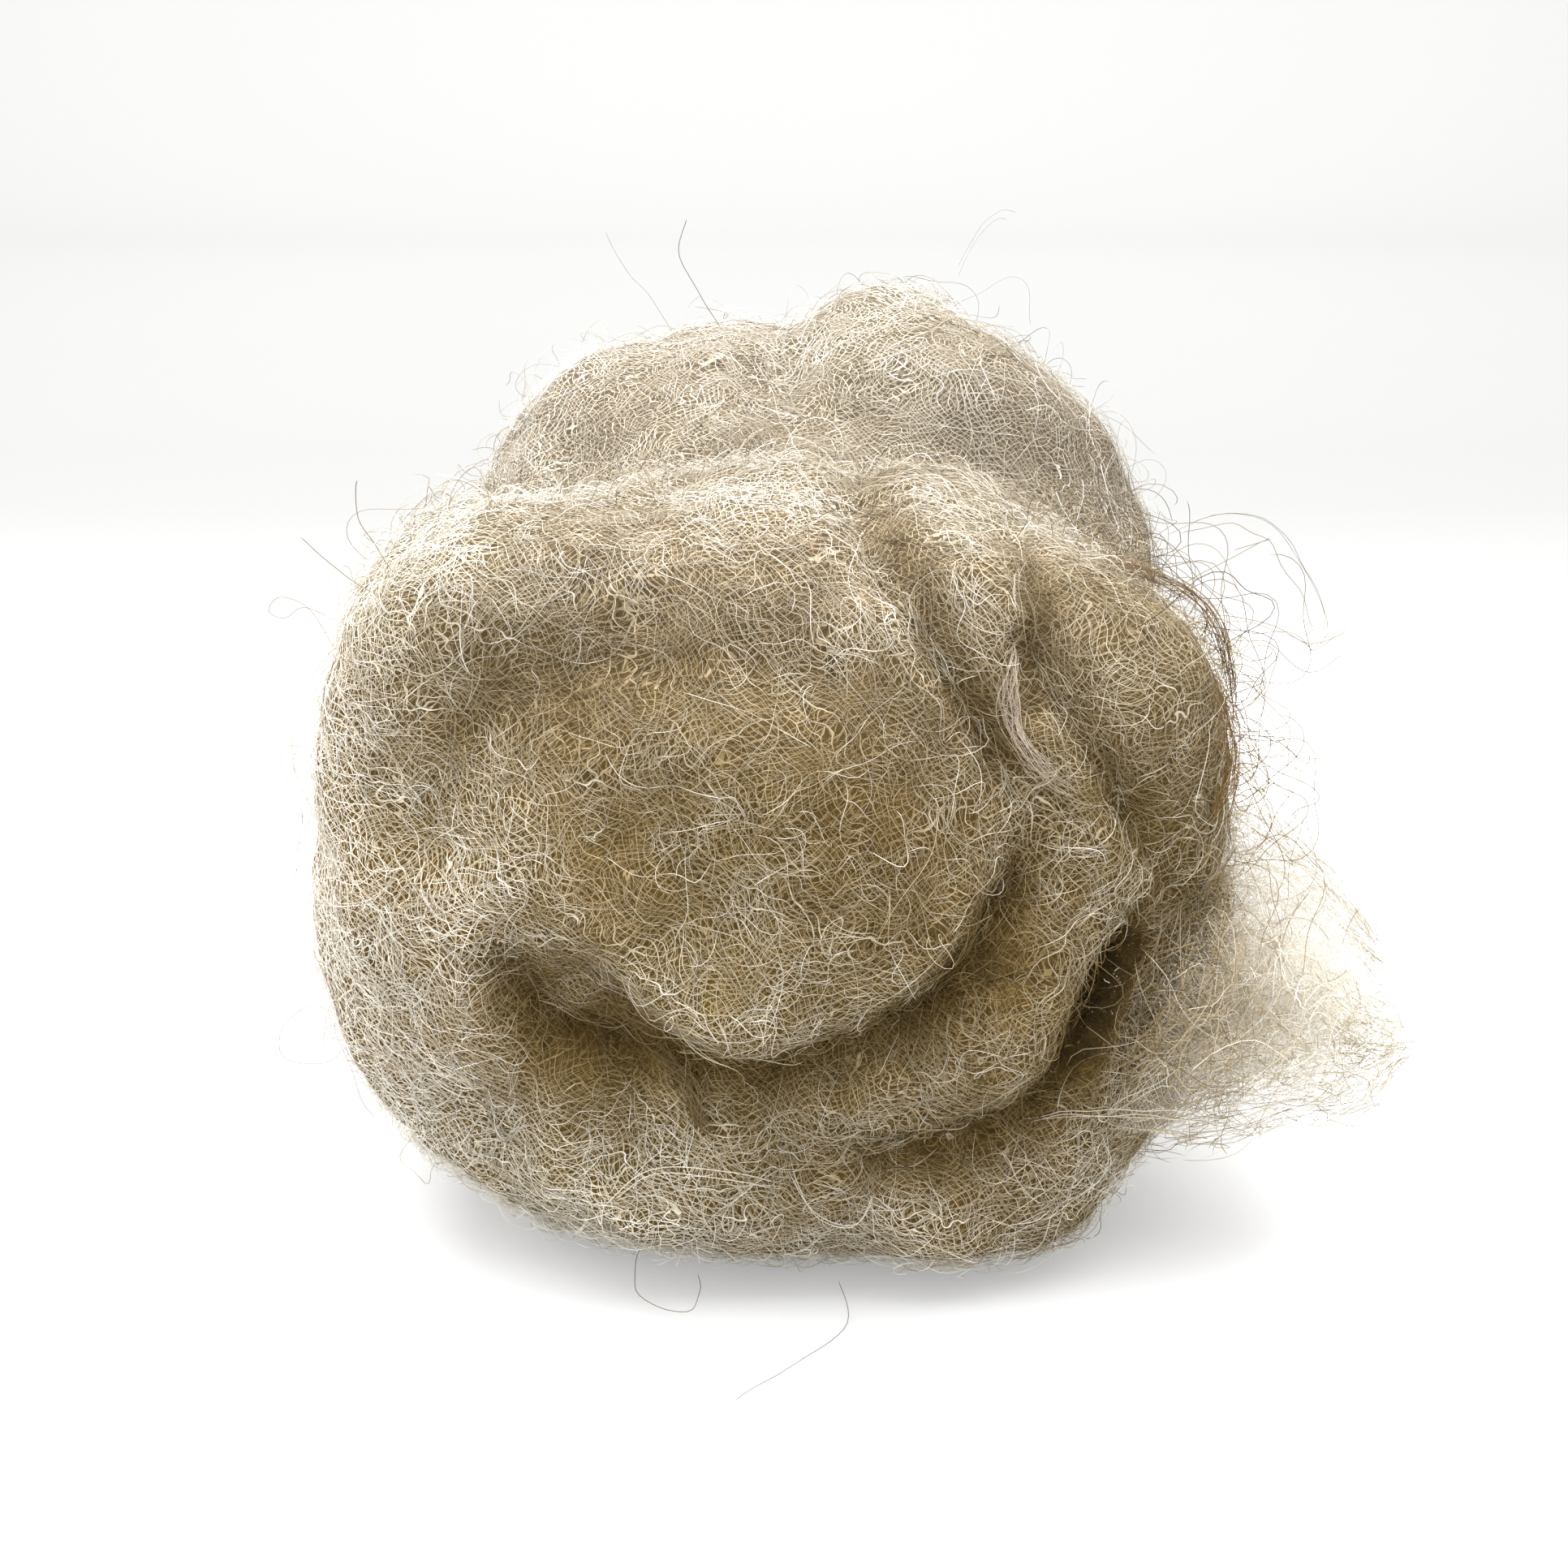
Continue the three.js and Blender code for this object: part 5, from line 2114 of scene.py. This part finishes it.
LOCKS = (
    Lock(
        "dark_lock",
        (
            (39, -50, 91), (44.7, -50, 88), (49, -51, 83), (52, -52, 79.5), (53, -53, 75.5),
            (51, -54, 66),
        ),
        26, (2.0, 1.4), 0.08, 0.30, 0.7, 0.5, 71, Hold.NEAREST, 3.2,
    ),
    Lock(
        "dark_lock_low",
        ((47, -60, 76), (49, -60, 70), (50, -60, 64), (49, -60, 58)),
        18, (1.0, 1.8), 0.08, 0.30, 0.7, 0.5, 89, Hold.NEAREST, 3.0,
    ),
    Lock(
        "pale_lock",
        (
            (26.4, -70, 80.5), (25.4, -70, 77.5), (25.8, -71, 74), (28, -71, 70), (31, -72, 66.5),
            (33.5, -72, 64.5),
        ),
        30, (0.9, 0.9), 0.07, 0.78, 0.6, 0.5, 72, Hold.SEEN_FROM_FRONT, 1.4, 0.4,
    ),
    Lock(
        "dark_knob",
        ((-13, -74, 36), (-9, -76, 32), (-8, -76, 29), (-6, -75, 26)),
        34, (2.0, 0.8), 0.10, 0.34, 0.5, 1.2, 73, Hold.SEEN_FROM_FRONT, 1.6,
    ),
    Lock(
        "pale_arc_left",
        ((-21, -74, 14), (-16, -76, 19), (-10, -77, 22), (-3, -78, 21), (2, -77, 16)),
        2, (0.3, 1.2), 0.11, 0.9, 0.2, 0.0, 74, Hold.SEEN_FROM_FRONT, 2.4,
    ),
    Lock(
        "pale_arc_right",
        ((2, -77, 21), (5, -78, 16), (10, -78, 14), (12, -77.5, 19)),
        2, (0.2, 0.8), 0.11, 0.9, 0.2, 0.0, 75, Hold.SEEN_FROM_FRONT, 2.4,
    ),
    Lock(
        "pale_arc_loose",
        ((26, -66, 22), (34, -70, 26), (44, -72, 27), (54, -70, 25), (62, -66, 22)),
        3, (0.3, 1.6), 0.10, 0.9, 0.3, 0.0, 90,
    ),
    hair(
        "floor_hair",
        ((8, -66, 1), (9, -74, 0.3), (4, -80, 0.2), (0, -84, 0.2), (-4, -88, 0.2)),
        0.10, 0.15, 0.3, 76,
    ),
    hair(
        "floor_curl",
        ((-16, -60, 2), (-16.4, -68, 1.5), (-12.3, -73, 1.5), (-8.7, -73, 2.5), (-8.8, -66, 2)),
        0.09, 0.25, 0.2, 77,
    ),
    hair(
        "left_hair",
        ((-47, -45, 94.4), (-47.4, -46, 91.4), (-45.4, -49, 88.8), (-41.5, -54, 85.5), (-34, -60, 84)),
        0.10, 0.2, 0.2, 78,
    ),
    hair(
        "left_hair_low",
        ((-54, -46, 88), (-48.7, -50, 84.8), (-42, -55, 82.5), (-37, -60, 82)),
        0.09, 0.25, 0.2, 79,
    ),
    hair(
        "top_hair",
        ((-13, 42, 113), (-14, 40, 108), (-11, 38, 102.5), (-8, 36, 98)),
        0.14, 0.4, 0.2, 80,
    ),
    hair(
        "top_hair_left",
        ((-25.5, 46, 110.6), (-22.4, 44, 105.5), (-18.7, 42, 101.5), (-15, 40, 96)),
        0.09, 0.5, 0.2, 81,
    ),
    Lock(
        "top_arc",
        ((26, 38, 102), (29.5, 44, 109), (33.6, 46, 113), (36.5, 48, 112.5)),
        2, (0.2, 1.5), 0.08, 0.55, 0.2, 0.0, 82,
    ),
    Lock(
        "right_arc",
        (
            (48, -32, 84), (54, -30, 85.8), (60, -30, 84.8), (64, -32, 80), (67, -34, 73.6),
            (64, -36, 71),
        ),
        3, (0.4, 2.5), 0.08, 0.4, 0.4, 0.3, 83,
    ),
    Lock(
        "right_arc_middle",
        ((44, -60, 80), (48, -58, 81), (56, -52, 78), (63, -48, 74), (70, -44, 76)),
        4, (0.5, 3.0), 0.08, 0.4, 0.6, 0.3, 84,
    ),
    Lock(
        "right_arc_low",
        ((48, -54, 60), (52, -50, 60.7), (59.5, -44, 59.4), (66, -40, 57.4), (71, -38, 56.7)),
        3, (0.4, 2.5), 0.08, 0.5, 0.5, 0.3, 85,
    ),
    hair(
        "left_loop",
        (
            (-50, -52, 30), (-53, -50, 28.6), (-57, -48, 28.7), (-61.4, -47, 24.7),
            (-61, -47, 20.7), (-56, -48, 20.7), (-53, -50, 24),
        ),
        0.08, 0.45, 0.2, 86,
    ),
    hair(
        "left_line",
        (
            (-50, -52, 63), (-57, -48, 63), (-58, -47, 58.5), (-56.3, -47, 54.3), (-57.4, -47, 48),
            (-58, -47, 45),
        ),
        0.08, 0.45, 0.2, 87,
    ),
    hair(
        "left_curl",
        (
            (-50, -51, 76), (-53, -48, 79.9), (-56.6, -47, 81), (-58, -47, 79.4),
            (-56.4, -47, 78.5), (-54, -47, 79.8), (-51, -48, 79),
        ),
        0.08, 0.4, 0.2, 88,
    ),
)
DYES = {
    "pale_lock": (1.0, 0.94, 0.93),
    "dark_lock": (1.0, 0.88, 0.78),
    "dark_lock_low": (1.0, 0.88, 0.78),
}


def main() -> None:
    """Builds the scene in order and reports each piece."""
    logging.basicConfig(level=logging.INFO, format="%(message)s")
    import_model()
    form = WoundForm()
    placement = Placement(form)
    placement.fit()
    studio = Studio()
    studio.camera(placement)
    studio.stage()
    studio.lights()
    fleece_finish = FleeceFinish().material()
    veil_finish = FleeceFinish("fleece_veil", VEIL_FAMILIES, veil=True).material()
    wisp_finish = FleeceFinish(
        "wisp_veil", WISP_FAMILIES, veil=True, ground=0.62, paleness=0.85, haze=0.17
    ).material()
    fibre_finish = FibreFinish().material()
    painted_light_and_tone = PaintedLightAndTone(placement)
    roll = RolledBatt(placement, painted_light_and_tone)
    fleece = roll.skin("wound_fleece", fleece_finish, 224, (68, 38, 34), 1.6)
    dress(fleece.piece)
    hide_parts(ROLL_NODE)
    dress(roll.skin("wound_veil", veil_finish, 176, (54, 30, 26), 0.5).piece)
    centre = placement.to_frame(np.array([form.core[0], 0.0, form.core[1]]))
    for layer in LAYERS:
        dress(layer.grow(fleece, centre, painted_light_and_tone), fibre_finish)
    for loops in LOOPS:
        dress(loops.grow(fleece), fibre_finish)
    loose = LooseEnd(placement)
    inner = loose.shell("loose_fleece", fleece_finish, LOOSE_ROOT)
    dress(inner.piece)
    dress(TIP_LOOPS.grow(inner), fibre_finish)
    dress(ROOT_FIBRES.grow(inner, centre, painted_light_and_tone), fibre_finish)
    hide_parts(LOOSE_NODE)
    for number, row in enumerate(LOOSE_VEILS, 1):
        dress(loose.shell(f"loose_veil_{number}", wisp_finish, row).piece)
    dress(loose.wisps("loose_wisps", Wisps()), fibre_finish)
    for lock in LOCKS:
        finish = fibre_finish
        if lock.name in DYES:
            finish = FibreFinish(f"{lock.name}_fibre", dye=DYES[lock.name]).material()
        dress(lock.strands(placement, fleece).mesh(lock.name), finish)


if __name__ == "__main__":
    main()
